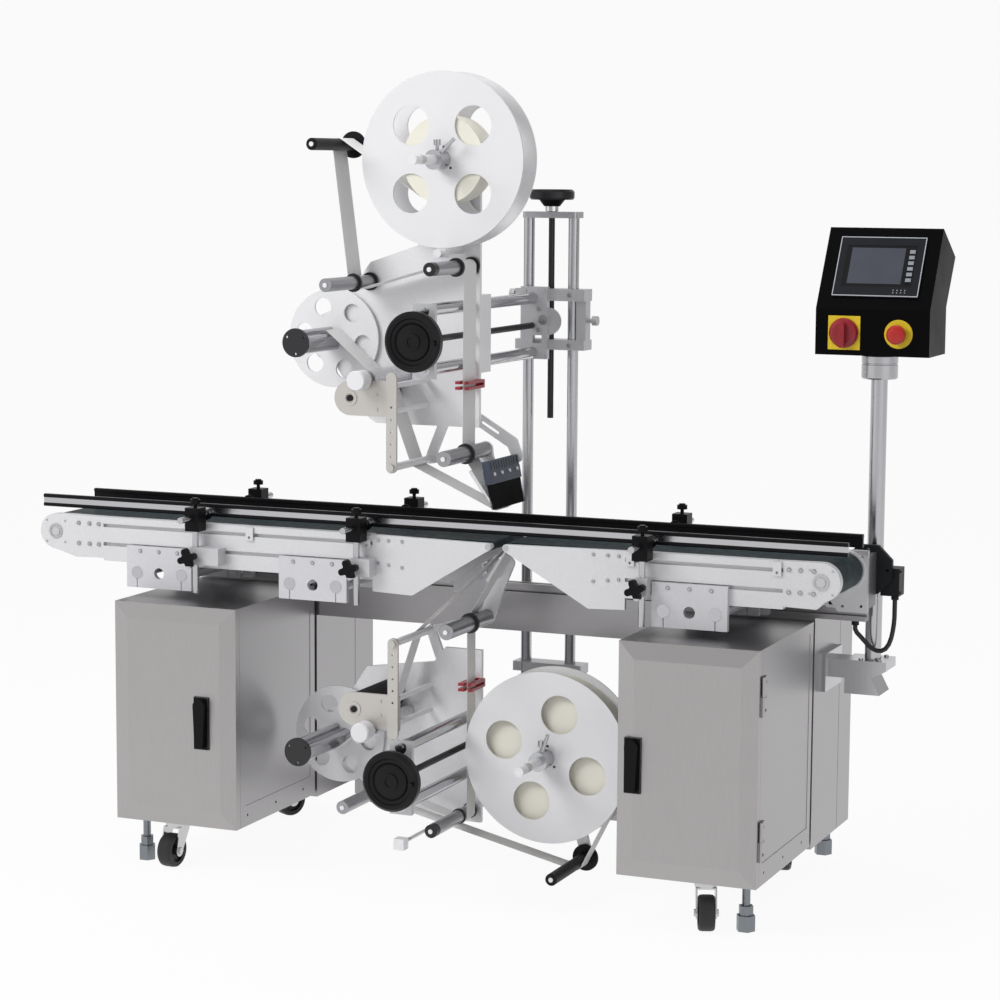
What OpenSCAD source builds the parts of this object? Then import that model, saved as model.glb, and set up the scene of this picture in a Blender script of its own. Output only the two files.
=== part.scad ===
// Flat surface labelling machine: a two-belt conveyor on two cabinets, with one label
// head above the belts and one below, and an operator screen on a post.
// Lengths are in millimetres. X runs along the belts, Y runs from the operator's side
// to the back, and Z is up.

/* [Base] */
// Width of each cabinet
cabinet_w = 300; // [280:5:310]
// Depth of each cabinet with its door
cabinet_d = 388; // [370:2:392]
// Overall length of the base, over both cabinets
base_l = 1484; // [1480:1:1500]
// Height of the cabinet tops above the floor
cabinet_top = 595; // [580:1:598]
// Height of the cabinet bottoms above the floor
cabinet_bottom = 106; // [104:1:112]
// Diameter of the caster wheels
caster_d = 75; // [65:1:76]

/* [Conveyor] */
// Width of both belts
belt_w = 160; // [150:1:160]
// Height of the belts' upper side
belt_top = 762; // [760:0.5:763]
// Thickness of the belts
belt_t = 2.5; // [2:0.1:3]
// Radius over the belt on the end pulleys
belt_end_r = 37; // [34:0.5:38]
// Height of the guide rails' middle
rail_z = 790; // [788:1:796]
// Height of the guide rails' section
rail_h = 28; // [22:1:30]

/* [Label heads] */
// Diameter of the side discs on the supply reels
supply_disc_d = 372; // [340:2:372]
// Diameter of the label roll on the upper supply reel
upper_roll_d = 186; // [120:2:230]
// Diameter of the label roll on the lower supply reel
lower_roll_d = 346; // [200:2:350]
// Diameter of the discs on the rewind reels
rewind_disc_d = 217; // [200:1:218]
// Width of the upper label web
upper_web_w = 67; // [50:1:67]
// Width of the lower label web
lower_web_w = 45; // [40:1:52]
// Radius of the driven rubber rollers
drive_roller_r = 33; // [31:0.5:33]
// Radius of the guide rollers
idler_r = 14.4; // [12:0.1:14.4]
// Diameter of the handwheels on the cross screws
handwheel_d = 126; // [110:2:130]

/* [Column] */
// Diameter of the two lift posts
post_d = 25; // [22:0.5:26]
// Height of the posts' top plate
post_top = 1435; // [1430:1:1450]

/* [Screen] */
// Width of the operator screen's housing
screen_w = 244; // [230:2:250]
// Diameter of the screen's post
screen_post_d = 35; // [30:1:38]

/* [Hidden] */
$fn = 48;

// Gaps: shafts that turn in holes, and parts that pass each other
run = 0.05;
gap = 0.3;
cut = 1;

// The machine's centre in the layout frame, which starts at the left cabinet's front
// corner on the floor
centre_x = 726;
centre_y = 261;

// Base
door_t = 26;
door_seam = 0.6;
sheet_t = 3;
right_x = base_l - cabinet_w;
rear_y0 = 400;
rear_y1 = 601;
rear_back = 700;
rear_bottom = 97;
beam_top = 601;
beam_bottom = 524;
beam_t = 40;
rail_profile_d = 30;
rail_profile_h = 30;
rail_profile_end = 1593;
post_y = 640;
latch_z = 380;
left_latch_x = 220;
right_latch_x = 1220;
door_hinge_y = 16;

// Casters: swivel axis [x, y], height of the mounting face, height of the axle, and the
// angle they stand at
caster_trail = 22;
front_axle_z = caster_d / 2 + 1;
rear_axle_z = caster_d / 2;
kingpin_r = 6;
axle_r = 4;
CASTERS = [
    [123, 58, cabinet_bottom, front_axle_z, 87],
    [1362, 58, cabinet_bottom, front_axle_z, 112],
    [150, 590, rear_bottom, rear_axle_z, 60],
    [1370, 590, rear_bottom, rear_axle_z, 100]
];
// Levelling feet: [x, y], height of the face above, and height of the sole
FEET = [
    [36, 76, cabinet_bottom, 0],
    [1443, 76, cabinet_bottom, 0],
    [36, 646, rear_bottom, 26],
    [1443, 646, rear_bottom, 26]
];

// Conveyor
side_t = 20;
belt_y0 = 132;
belt_y1 = belt_y0 + belt_w;
front_face = 110;
front_back = front_face + side_t;
rear_face = belt_y1 + 2;
rear_side_back = rear_face + side_t;
profile_bottom = 665;
profile_top = 764;
pulley_z = belt_top - belt_end_r;
infeed_end_x = -213;
outfeed_end_x = 1577;
nose_r = 9;
nose_z = belt_top - nose_r;
infeed_nose_x = 849;
outfeed_nose_x = 890;
shaft_r = 10;
mount_r = 14;
mount_z = 646;
mount_spread = 56;
MOUNT_X = [60, 441.5, 1303];
mount_face = 98;
mount_bore_r = 12.5;
front_rail_y = 145;
rear_rail_y = 283;
guide_rod_z = 780;
guide_rod_r = 7;
front_post_y = 86;
rear_post_y = 338;
FRONT_BRACKET_X = [160, 553, 1204];
REAR_BRACKET_X = [183, 574, 1203];

// Column and heads
post_left_x = 723;
post_right_x = 832;
screw_x = 778;
screw_r = 7;
post_r = post_d / 2;
slide_r = 13;
plate_front = 250;
plate_back = 260;
block_back = 312;
web_t = 0.6;
pin_r = 5;
hub_r = 10;

// Screen
screen_post_x = 1593;
screen_post_y = 470;
screen_x0 = 1471;

module place() {
    translate([-centre_x, -centre_y, 0]) children();
}

// A block between two limits on each axis
module slab(x0, x1, y0, y1, z0, z1) {
    translate([x0, y0, z0]) cube([x1 - x0, y1 - y0, z1 - z0]);
}

// Round bars along each axis
module bar_x(y, z, r, x0, x1) {
    translate([x0, y, z]) rotate([0, 90, 0]) cylinder(h = x1 - x0, r = r);
}

module bar_y(x, z, r, y0, y1) {
    translate([x, y0, z]) rotate([-90, 0, 0]) cylinder(h = y1 - y0, r = r);
}

module bar_z(x, y, r, z0, z1) {
    translate([x, y, z0]) cylinder(h = z1 - z0, r = r);
}

// A plate whose outline is drawn in X and Z, from y0 to y1
module plate_y(y0, y1) {
    translate([0, y1, 0]) rotate([90, 0, 0]) linear_extrude(y1 - y0) children();
}

// A section drawn in Y and Z, run along X from x0 to x1
module run_x(x0, x1) {
    translate([x0, 0, 0]) rotate([90, 0, 90]) linear_extrude(x1 - x0) children();
}

// A disc drawn in a plate's outline
module spot(x, z, r) {
    translate([x, z]) circle(r);
}

// A straight link of a given width between two points of an outline. Its sides are drawn in
// a little, so that they cross the round ends instead of only touching them.
module link_2d(a, b, w) {
    angle = atan2(b[1] - a[1], b[0] - a[0]);
    side_w = w * 0.99;
    translate(a) rotate(angle) translate([0, -side_w / 2]) square([norm(b - a), side_w]);
    spot(a[0], a[1], w / 2);
    spot(b[0], b[1], w / 2);
}

// A socket-head screw that stands on a face looking towards -Y
module screw_y(x, z, y_face, r) {
    bar_y(x, z, r, y_face - r * 0.6, y_face);
}

// The doors' hinges: pin line, barrel radius and lower ends
hinge_y = door_t - 4;
hinge_out = 4;
hinge_r = 3.5;
HINGE_Z = [160, 458];

// A slab from lo to hi outwards of a face that looks to -X (side -1) or +X (side 1)
module sided_slab(x, lo, hi, side, y0, y1, z0, z1) {
    slab(min(x + side * lo, x + side * hi), max(x + side * lo, x + side * hi), y0, y1, z0, z1);
}

// A folded cabinet with its front open, the closed box behind it and the caster plates
module cabinet(x0, hinge_side, casters) {
    x1 = x0 + cabinet_w;
    shell_front = door_t + door_seam;
    lip = 14;
    recess = 1;
    difference() {
        slab(x0, x1, shell_front, cabinet_d, cabinet_bottom, cabinet_top);
        slab(x0 + sheet_t, x1 - sheet_t, shell_front + sheet_t, cabinet_d - sheet_t,
            cabinet_bottom + sheet_t, cabinet_top - sheet_t);
        slab(x0 + lip, x1 - lip, 0, shell_front + 2 * sheet_t, cabinet_bottom + lip, cabinet_top - lip);
        for (side = [x0 - cut, x1 - recess])
            slab(side, side + cut + recess, shell_front + 22, cabinet_d - 22,
                cabinet_bottom + 46, cabinet_top - 22);
        for (k = [0:2])
            bar_x(60 + k * 134, cabinet_bottom + 24, 3, x0 - cut, x1 + cut);
        for (c = casters)
            if (c[1] < cabinet_d)
                bar_z(c[0], c[1], kingpin_r + run, cabinet_bottom - cut, cabinet_bottom + sheet_t + cut);
    }
    // box behind the seam
    difference() {
        slab(x0, x1, rear_y0, rear_y1, rear_bottom, beam_top);
        slab(x0 + sheet_t, x1 - sheet_t, rear_y0 + sheet_t, rear_y1 - sheet_t,
            rear_bottom + 2 * sheet_t, beam_top - sheet_t);
        for (c = casters)
            if (c[1] > cabinet_d)
                bar_z(c[0], c[1], kingpin_r + run, rear_bottom - cut, rear_bottom + 3 * sheet_t);
    }
    slab(x0 + 12, x1 - 12, cabinet_d, rear_y0, cabinet_bottom + 14, cabinet_top - 10);
    // its own fixed rear door, with a seam and two hinge barrels
    difference() {
        slab(x0, x1, rear_y1 + 2, rear_back, rear_bottom, beam_top);
        slab(x0 + sheet_t, x1 - sheet_t, rear_y1 + 2 - cut, rear_back - sheet_t,
            rear_bottom + sheet_t, beam_top - sheet_t);
    }
    slab(x0 + 6, x1 - 6, rear_y1, rear_y1 + 6, rear_bottom + 10, beam_top - 10);
    for (z = [180, 480])
        bar_z(x1 - 22, rear_back + 4, 4, z, z + 60);
    // the fixed halves of the door's hinges
    edge = hinge_side > 0 ? x1 : x0;
    hx = edge + hinge_side * hinge_out;
    for (z = HINGE_Z) {
        bar_z(hx, hinge_y, hinge_r, z + 41.5, z + 82);
        sided_slab(hx, -0.5, 3, hinge_side, hinge_y, shell_front + 3, z + 41.5, z + 82);
        sided_slab(edge, -0.5, 4.5, hinge_side, shell_front + 0.5, shell_front + 20, z, z + 82);
    }
}

module cabinet_left() {
    color("gainsboro") cabinet(0, -1, [CASTERS[0], CASTERS[2]]);
}

module cabinet_right() {
    color("gainsboro") cabinet(right_x, 1, [CASTERS[1], CASTERS[3]]);
}

// A pan-shaped door with a bevelled rim, the plate under its latch and its hinge leaves
module door(x0, latch_x, hinge_side) {
    x1 = x0 + cabinet_w;
    bevel = 36;
    flange = 18;
    wall = 2.5;
    difference() {
        hull() {
            slab(x0, x1, door_t - flange, door_t, cabinet_bottom, cabinet_top);
            slab(x0 + bevel, x1 - bevel, 0, door_t, cabinet_bottom + bevel, cabinet_top - bevel);
        }
        slab(x0 + wall, x1 - wall, door_t - flange + 3, door_t + cut,
            cabinet_bottom + wall, cabinet_top - wall);
        slab(x0 + bevel, x1 - bevel, wall, door_t, cabinet_bottom + bevel, cabinet_top - bevel);
        bar_y(latch_x, latch_z, 5 + run, -cut, door_t);
    }
    difference() {
        slab(latch_x - 18, latch_x + 18, -4, 0, latch_z - 98, latch_z + 18);
        bar_y(latch_x, latch_z, 5 + run, -5, cut);
    }
    edge = hinge_side > 0 ? x1 : x0;
    for (z = HINGE_Z) {
        bar_z(edge + hinge_side * hinge_out, hinge_y, hinge_r, z, z + 41);
        sided_slab(edge, -1, hinge_out, hinge_side, hinge_y - 2.5, hinge_y + 2.5, z, z + 41);
    }
}

module left_door() {
    color("whitesmoke") door(0, left_latch_x, -1);
}

module right_door() {
    color("whitesmoke") door(right_x, right_latch_x, 1);
}

// A swing handle: a tapered grip on a round boss with its spindle
module latch(x) {
    plate_y(-16, -4 - gap) {
        spot(x, latch_z, 14);
        polygon([[x - 14, latch_z], [x + 14, latch_z], [x + 10, latch_z - 92], [x - 10, latch_z - 92]]);
    }
    bar_y(x, latch_z, 5, -4 - gap, 20);
}

module left_latch() {
    color("black") latch(left_latch_x);
}

module right_latch() {
    color("black") latch(right_latch_x);
}

// The cross beam between the boxes, the slotted profile on it, the low beam and the
// bracket that holds the lift posts
module rear_beams() {
    x0 = cabinet_w;
    x1 = right_x;
    beam_back = rear_y0 + beam_t;
    color("silver") {
        difference() {
            slab(x0, x1, rear_y0, beam_back, beam_bottom, beam_top);
            slab(x0 - cut, x1 + cut, rear_y0 + sheet_t, beam_back - sheet_t,
                beam_bottom + sheet_t, beam_top - sheet_t);
        }
        run_x(0, rail_profile_end) difference() {
            translate([rear_y0, beam_top]) square([rail_profile_d, rail_profile_h]);
            translate([rear_y0 - cut, beam_top + 11]) square([cut + 4, 8]);
            translate([rear_y0 + 4, beam_top + 7]) square([5, 16]);
            translate([rear_y0 + 11, beam_top + rail_profile_h - 4]) square([8, 5]);
            translate([rear_y0 + 7, beam_top + rail_profile_h - 9]) square([16, 5]);
        }
        difference() {
            slab(x0, x1, 600, 650, 62, 100);
            slab(x0 - cut, x1 + cut, 600 + sheet_t, 650 - sheet_t, 62 + sheet_t, 100 - sheet_t);
        }
        difference() {
            slab(700, 855, beam_back, 662, 545, 590);
            for (x = [post_left_x, post_right_x])
                bar_z(x, post_y, post_r, 540, 595);
        }
    }
}

// A levelling foot: six-sided body, lock nut and threaded stud
module foot(f) {
    translate([f[0], f[1], f[3]]) {
        cylinder(h = 33, r = 20, $fn = 6);
        translate([0, 0, 33]) cylinder(h = 20, r = 15.5, $fn = 6);
        translate([0, 0, 53]) cylinder(h = f[2] - f[3] - 53, r = 8.5);
    }
}

module levelling_feet() {
    color("lightslategray") for (f = FEET) foot(f);
}

// The swivelling part of a caster, from its kingpin down to the axle
module caster_fork(c) {
    top = c[2] - gap;
    leg_in = 18.5;
    leg_t = 3;
    translate([c[0], c[1], 0]) rotate(c[4]) {
        bar_z(0, 0, kingpin_r, top - 4, c[2] + sheet_t + 1);
        bar_z(0, 0, 32, top - 6, top);
        bar_z(0, 0, 24, top - 16, top - 6);
        for (side = [-leg_in - leg_t, leg_in])
            plate_y(side, side + leg_t) {
                polygon([
                    [-22, top - 16], [22, top - 16], [-caster_trail + 13, c[3]], [-caster_trail - 13, c[3]]
                ]);
                spot(-caster_trail, c[3], 13);
            }
        slab(-22, 22, -leg_in - leg_t, leg_in + leg_t, top - 19, top - 16);
        bar_y(-caster_trail, c[3], axle_r, -leg_in - 7, leg_in + 7);
        for (side = [-leg_in - 7, leg_in + leg_t])
            translate([-caster_trail, side, c[3]]) rotate([-90, 0, 0]) cylinder(h = 4, r = 8, $fn = 6);
    }
}

// A caster wheel with a crowned tread, a dished web and a bored hub
module caster_wheel(c) {
    r = caster_d / 2;
    translate([c[0], c[1], c[3]]) rotate(c[4]) translate([-caster_trail, 0, 0])
        rotate([90, 0, 0]) rotate_extrude()
            polygon([
                [axle_r + run, -18], [11, -18], [11, -10], [r - 12, -10], [r - 12, -16], [r - 4, -17],
                [r - 1, -14], [r, -8], [r, 8], [r - 1, 14], [r - 4, 17], [r - 12, 16], [r - 12, 10],
                [11, 10], [11, 18], [axle_r + run, 18]
            ]);
}

module front_left_fork() { color("silver") caster_fork(CASTERS[0]); }
module front_right_fork() { color("silver") caster_fork(CASTERS[1]); }
module rear_left_fork() { color("silver") caster_fork(CASTERS[2]); }
module rear_right_fork() { color("silver") caster_fork(CASTERS[3]); }
module front_left_wheel() { color("dimgray") caster_wheel(CASTERS[0]); }
module front_right_wheel() { color("dimgray") caster_wheel(CASTERS[1]); }
module rear_left_wheel() { color("dimgray") caster_wheel(CASTERS[2]); }
module rear_right_wheel() { color("dimgray") caster_wheel(CASTERS[3]); }

// Repeats a piece of the conveyor's near side on its far side
module both_sides() {
    children();
    translate([0, belt_y0 + belt_y1, 0]) mirror([0, 1, 0]) children();
}

// A side profile with two T-slots in its outer face
module side_profile(x0, x1) {
    run_x(x0, x1) difference() {
        translate([front_face, profile_bottom]) square([side_t, profile_top - profile_bottom]);
        for (z = [703, 745]) {
            translate([front_face - cut, z - 4]) square([cut + 3, 8]);
            translate([front_face + 3, z - 8]) square([5, 16]);
        }
    }
}

// The rounded plate that carries an end pulley, its bearing ring and its screws
module end_plate(pulley_x, joint_x) {
    toward = joint_x > pulley_x ? 1 : -1;
    plate_y(front_face, front_back) difference() {
        union() {
            spot(pulley_x, pulley_z, 40);
            polygon([
                [pulley_x, pulley_z + 40], [joint_x, profile_top], [joint_x, profile_bottom + 6],
                [joint_x - toward * 70, profile_bottom + 4], [pulley_x - toward * 10, pulley_z - 38]
            ]);
        }
        spot(pulley_x, pulley_z, shaft_r + run);
    }
}

// Bearing rings and screw heads on the operator's side of one conveyor
module face_details(pulley_x, profile_x, joint_x) {
    toward = joint_x > pulley_x ? 1 : -1;
    plate_y(front_face - 2, front_face) difference() {
        spot(pulley_x, pulley_z, 17);
        spot(pulley_x, pulley_z, 12.5);
    }
    for (dx = [12, 36, 64], z = [701, 747])
        screw_y(profile_x - toward * dx, z, front_face, 4.5);
    for (dx = [-24, 24], dz = [-24, 24])
        screw_y(pulley_x + dx, pulley_z + dz, front_face, 2.5);
    for (dx = [14, 38, 70], dz = [0, 1])
        screw_y(joint_x + toward * dx, dz * 48 + 704 - dx * (1 - dz) * 0.12, front_face, 3.5);
}

// The tapered plate at the gap between the belts, with its screws
module nose_plate(joint_x, heel_x, nose_x) {
    toward = nose_x > joint_x ? 1 : -1;
    tip_r = nose_r - 1.5;
    plate_y(front_face, front_face + 10) {
        spot(nose_x, nose_z, tip_r);
        polygon([
            [joint_x, profile_top], [joint_x, 640], [heel_x, 637],
            [nose_x + toward * 4, nose_z - tip_r + 1], [nose_x, nose_z + tip_r]
        ]);
    }
}

// One conveyor's frame: sides, end plates, nose bar, return bar, slider bed and clips
module conveyor_frame(pulley_x, profile_x, joint_x, heel_x, nose_x, clips) {
    x_low = min(profile_x, joint_x);
    x_high = max(profile_x, joint_x);
    bed_top = belt_top - belt_t - 0.2;
    both_sides() {
        side_profile(x_low, x_high);
        end_plate(pulley_x, profile_x);
        nose_plate(joint_x, heel_x, nose_x);
        for (x = clips)
            plate_y(front_face - 5, front_face) difference() {
                translate([x - 9, 733]) square([18, 29]);
                spot(x, 740, 3);
            }
    }
    face_details(pulley_x, profile_x, joint_x);
    bar_y(nose_x, nose_z, nose_r - belt_t - gap, front_face - 1, rear_side_back);
    bar_y(heel_x, 699, nose_r - belt_t - gap, front_back - 12, rear_face + 12);
    for (x = [x_low + 60, (x_low + x_high) / 2, x_high - 60])
        bar_y(x, bed_top - 12, 8, front_back - 1, rear_face + 1);
    bed_ends = nose_x > pulley_x ? [pulley_x + 44, nose_x - 14] : [nose_x + 14, pulley_x - 44];
    slab(bed_ends[0], bed_ends[1], belt_y0 + 5, belt_y1 - 5, bed_top - 5, bed_top);
}

module infeed_frame() {
    color("gainsboro") conveyor_frame(infeed_end_x, -89, 580, 673, infeed_nose_x, [283, 568]);
}

module outfeed_frame() {
    color("gainsboro") conveyor_frame(outfeed_end_x, 1498, 1158, 1077, outfeed_nose_x, [1170, 1486]);
}

// A belt's closed path seen from the side, drawn in by a distance
module belt_path(pulley_x, heel_x, nose_x, inset) {
    hull() {
        spot(pulley_x, pulley_z, belt_end_r - inset);
        spot(heel_x, 699, nose_r - inset);
        spot(nose_x, nose_z, nose_r - inset);
    }
}

module belt(pulley_x, heel_x, nose_x) {
    plate_y(belt_y0, belt_y1) difference() {
        belt_path(pulley_x, heel_x, nose_x, 0);
        belt_path(pulley_x, heel_x, nose_x, belt_t);
    }
}

module infeed_belt() {
    color("darkslategray") belt(infeed_end_x, 673, infeed_nose_x);
}

module outfeed_belt() {
    color("darkslategray") belt(outfeed_end_x, 1077, outfeed_nose_x);
}

// An end pulley: crowned shell, end webs and a through shaft
module pulley(x) {
    shell_r = belt_end_r - belt_t - gap;
    half = belt_w / 2 - 2;
    mid = (belt_y0 + belt_y1) / 2;
    translate([x, mid, pulley_z]) rotate([90, 0, 0]) rotate_extrude()
        polygon([
            [0, -104], [shaft_r, -104], [shaft_r, -half + 4], [shell_r - 4, -half + 4],
            [shell_r - 4, -half], [shell_r - 0.6, -half], [shell_r, -half + 20],
            [shell_r, half - 20], [shell_r - 0.6, half], [shell_r - 4, half],
            [shell_r - 4, half - 4], [shaft_r, half - 4], [shaft_r, 104], [0, 104]
        ]);
}

module tail_pulley() {
    color("silver") pulley(infeed_end_x);
}

module drive_pulley() {
    color("silver") pulley(outfeed_end_x);
}

// A clamp plate: outline with a slit under each clamp circle
module clamp_plate(x, y0, y1, z0, z1) {
    plate_y(y0, y1) difference() {
        translate([x - 82, z0]) square([164, z1 - z0]);
        spot(x, mount_z, mount_bore_r);
        for (side = [-1, 1])
            translate([x + side * mount_spread - 1, z0 - cut]) square([2, mount_z - z0 - mount_r + cut]);
    }
}

// The plates that hold the conveyors, and their round shafts back to the frame
module conveyor_mounts() {
    color("whitesmoke") for (x = MOUNT_X) {
        clamp_plate(x, mount_face, front_face, 612, 705);
        clamp_plate(x, rear_side_back, rear_side_back + 12, 612, 705);
        clamp_plate(x, 380, rear_y0, 604, 690);
        for (side = [-1, 1])
            bar_y(x + side * mount_spread, mount_z, mount_r, mount_face - 0.8, rear_y0 - 4);
        for (dx = [-47, 0, 47])
            screw_y(x + dx, 695, mount_face, 4);
        for (dx = [-60, 60])
            screw_y(x + dx, 618, 380, 5);
    }
    // the block that steadies the two noses
    color("silver") {
        slab(652, 748, rear_side_back, rear_side_back + 12, 648, 712);
        for (dx = [-30, 30])
            bar_y(700 + dx, 680, 11, rear_side_back + 12, 380);
        slab(652, 748, 380, rear_y0, 604, 712);
        for (dx = [-30, 30])
            screw_y(700 + dx, 655, 380, 4);
    }
}

// A star knob with four lobes on a short stem, looking towards -Y
module star_knob(x, z, y0) {
    plate_y(y0, y0 + 14) {
        spot(x, z, 12);
        for (k = [0:3])
            link_2d([x, z], [x + 15 * cos(k * 90 + 20), z + 15 * sin(k * 90 + 20)], 15);
    }
    bar_y(x, z, 5, y0 + 14, y0 + 26);
}

// A block on a post that clamps a rail's rod, with its thumb screw
module rod_block(x, y, rod_z, z0, z1) {
    half = 17;
    difference() {
        slab(x - half, x + half, y - half, y + half, z0, z1);
        bar_y(x, rod_z, guide_rod_r + run, y - half - cut, y + half + cut);
    }
    bar_z(x, y, 4, z1, z1 + 9);
    bar_z(x, y, 11, z1 + 9, z1 + 18);
    bar_z(x, y, 7, z1 + 18, z1 + 21);
}

module guide_brackets() {
    reach = [62, 36, 15];
    color("dimgray") for (k = [0:2]) {
        fx = FRONT_BRACKET_X[k];
        rod_block(fx, front_post_y, guide_rod_z, 750, 802);
        bar_z(fx, front_post_y, guide_rod_r, 612, 750);
        slab(fx - 13, fx + reach[k], front_post_y - 11, front_face, 676, 714);
        star_knob(fx - 4, 692, front_post_y - 37);
        rx = REAR_BRACKET_X[k];
        rod_block(rx, rear_post_y, rail_z + 6, 778, 818);
        bar_z(rx, rear_post_y, guide_rod_r, 660, 778);
        slab(rx - 13, rx + min(reach[k], 40), rear_side_back, rear_post_y + 11, 676, 712);
    }
}

// A guide rail: two dark strips on a bright flat bar, and the rods that carry it
module guide_rail(y, x0, x1, rod_z, y_rod0, y_rod1, collar_y, at) {
    half_h = rail_h / 2;
    run_x(x0, x1) polygon([
        [y - 6, rail_z - half_h + 2], [y - 4, rail_z - half_h], [y + 4, rail_z - half_h],
        [y + 6, rail_z - half_h + 2], [y + 6, rail_z - 7], [y + 4, rail_z - 6],
        [y + 4, rail_z + 6], [y + 6, rail_z + 7], [y + 6, rail_z + half_h - 2],
        [y + 4, rail_z + half_h], [y - 4, rail_z + half_h], [y - 6, rail_z + half_h - 2],
        [y - 6, rail_z + 7], [y - 4, rail_z + 6], [y - 4, rail_z - 6], [y - 6, rail_z - 7]
    ]);
    for (x = at) {
        bar_y(x, rod_z, guide_rod_r, y_rod0, y_rod1);
        bar_y(x, rod_z, 12, collar_y, collar_y + 8);
    }
}

module front_guide_rail() {
    color("dimgray") guide_rail(front_rail_y, -263, 1623, guide_rod_z, 18, front_rail_y - 4,
        front_rail_y - 14, FRONT_BRACKET_X);
}

module rear_guide_rail() {
    color("dimgray") guide_rail(rear_rail_y, -214, 1616, rail_z + 6, rear_rail_y + 4, 398,
        rear_rail_y + 6, REAR_BRACKET_X);
}

// The gear unit and motor behind the outfeed end, with the terminal box
module drive_motor() {
    color("gray") {
        plate_y(rear_side_back, rear_side_back + 10) difference() {
            polygon([[1505, 700], [1505, 765], [1619, 765], [1619, 634], [1556, 634]]);
            spot(outfeed_end_x, pulley_z, 12);
            for (p = [[1606, 648], [1606, 752], [1566, 646]])
                spot(p[0], p[1], 3);
        }
        difference() {
            slab(1528, 1616, rear_side_back + 10, 392, 640, 752);
            slab(1534, 1610, rear_side_back + 9, 386, 646, 746);
        }
        plate_y(392, 404) difference() {
            translate([1598, 715]) rotate(22.5) circle(r = 56, $fn = 8);
            for (k = [0:3])
                spot(1598 + 42 * cos(k * 90), 715 + 42 * sin(k * 90), 3);
        }
        bar_y(1586, 712, 34, 404, 446);
        slab(1623, 1663, 404, 446, 659, 718);
        for (z = [666, 711])
            bar_x(414, z, 3, 1663, 1665);
        bar_z(1648, 430, 8, 648, 659);
        bar_z(1566, 420, 8, 590, beam_top);
    }
}

// The motor's lead hangs from the terminal box's gland to the gland under the profile
CABLE = [
    [1648, 430, 648], [1648, 430, 638], [1648, 430, 625], [1648, 430, 610], [1647, 430, 595],
    [1645, 430, 580], [1642, 430, 565], [1637, 430, 551], [1630, 430, 541], [1621, 430, 536],
    [1611, 430, 536], [1602, 429, 540], [1593, 428, 547], [1585, 426, 556], [1577, 424, 565],
    [1570, 421, 573], [1566, 420, 581], [1566, 420, 590]
];
cable_r = 5;
cable_sides = 8;

// One ring of a tube around point k, square to the path in the X-Z plane
function path_dir(p, k) =
    let (d = p[min(k + 1, len(p) - 1)] - p[max(k - 1, 0)]) d / norm(d);
function ring_point(p, k, r, n, i) =
    let (t = path_dir(p, k), b = [0, 1, 0] - t * t[1], u = b / norm(b), v = cross(t, u))
        p[k] + r * (cos(i * 360 / n) * u + sin(i * 360 / n) * v);

module tube(p, r, n) {
    last = len(p) - 1;
    points = [for (k = [0:last], i = [0:n - 1]) ring_point(p, k, r, n, i)];
    sides = [for (k = [0:last - 1], i = [0:n - 1], s = [0, 1])
        let (a = k * n + i, b = k * n + (i + 1) % n)
            s == 0 ? [a, b, b + n] : [a, b + n, a + n]];
    caps = [[for (i = [n - 1:-1:0]) i], [for (i = [0:n - 1]) last * n + i]];
    polyhedron(points = points, faces = concat(sides, caps));
}

module motor_cable() {
    color("black") tube(CABLE, cable_r, cable_sides);
}

// The two lift posts with their end plates
module lift_posts() {
    color("silver") {
        for (x = [post_left_x, post_right_x])
            bar_z(x, post_y, post_r, 198, post_top);
        difference() {
            plate_z(715, 847, 615, 665, post_top, post_top + 14);
            bar_z(screw_x, post_y, screw_r + run, post_top - cut, post_top + 15);
        }
        plate_z(702, 853, 622, 658, 186, 198);
    }
}

// A flat plate with rounded corners, level with the floor
module plate_z(x0, x1, y0, y1, z0, z1) {
    r = 6;
    translate([0, 0, z0]) linear_extrude(z1 - z0) {
        translate([x0 + r, y0]) square([x1 - x0 - 2 * r, y1 - y0]);
        translate([x0, y0 + r]) square([x1 - x0, y1 - y0 - 2 * r]);
        for (x = [x0 + r, x1 - r], y = [y0 + r, y1 - r])
            spot(x, y, r);
    }
}

// A clamp bar across the two posts
module post_bar(z0, z1, screw_hole) {
    difference() {
        slab(700, 868, 615, 665, z0, z1);
        for (x = [post_left_x, post_right_x])
            bar_z(x, post_y, post_r + run, z0 - cut, z1 + cut);
        if (screw_hole)
            bar_z(screw_x, post_y, screw_r + run, z0 - cut, z1 + cut);
        slab(post_left_x - 1, post_left_x + 1, 610, post_y, z0 - cut, z1 + cut);
    }
}

// The slide shafts, the bracket at their free ends and the plate at their roots
module slide_shafts(x, z_high, z_low, z_screw, bracket_y) {
    bracket_w = 50;
    for (z = [z_high, z_low]) {
        bar_y(x, z, slide_r, bracket_y + 12, 600);
        screw_y(x, z, bracket_y, 6);
    }
    plate_y(bracket_y, bracket_y + 12) difference() {
        translate([x - bracket_w / 2, z_low - 18]) square([bracket_w, z_high - z_low + 32]);
        spot(x, z_screw, screw_r + run);
    }
    plate_y(600, 615) difference() {
        translate([x - 28, z_low - 14]) square([65, z_high - z_low + 40]);
        spot(x, z_screw, screw_r + run);
        translate([x + 2, z_low + 22]) square([22, 18]);
    }
    for (dx = [-17, 29], z = [z_low - 6, z_high + 18])
        screw_y(x + dx, z, 600, 4);
}

upper_shaft_x = 747;
upper_shaft_z = [1254, 1130];
upper_screw_z = 1192;
upper_bracket_y = 4;

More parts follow.
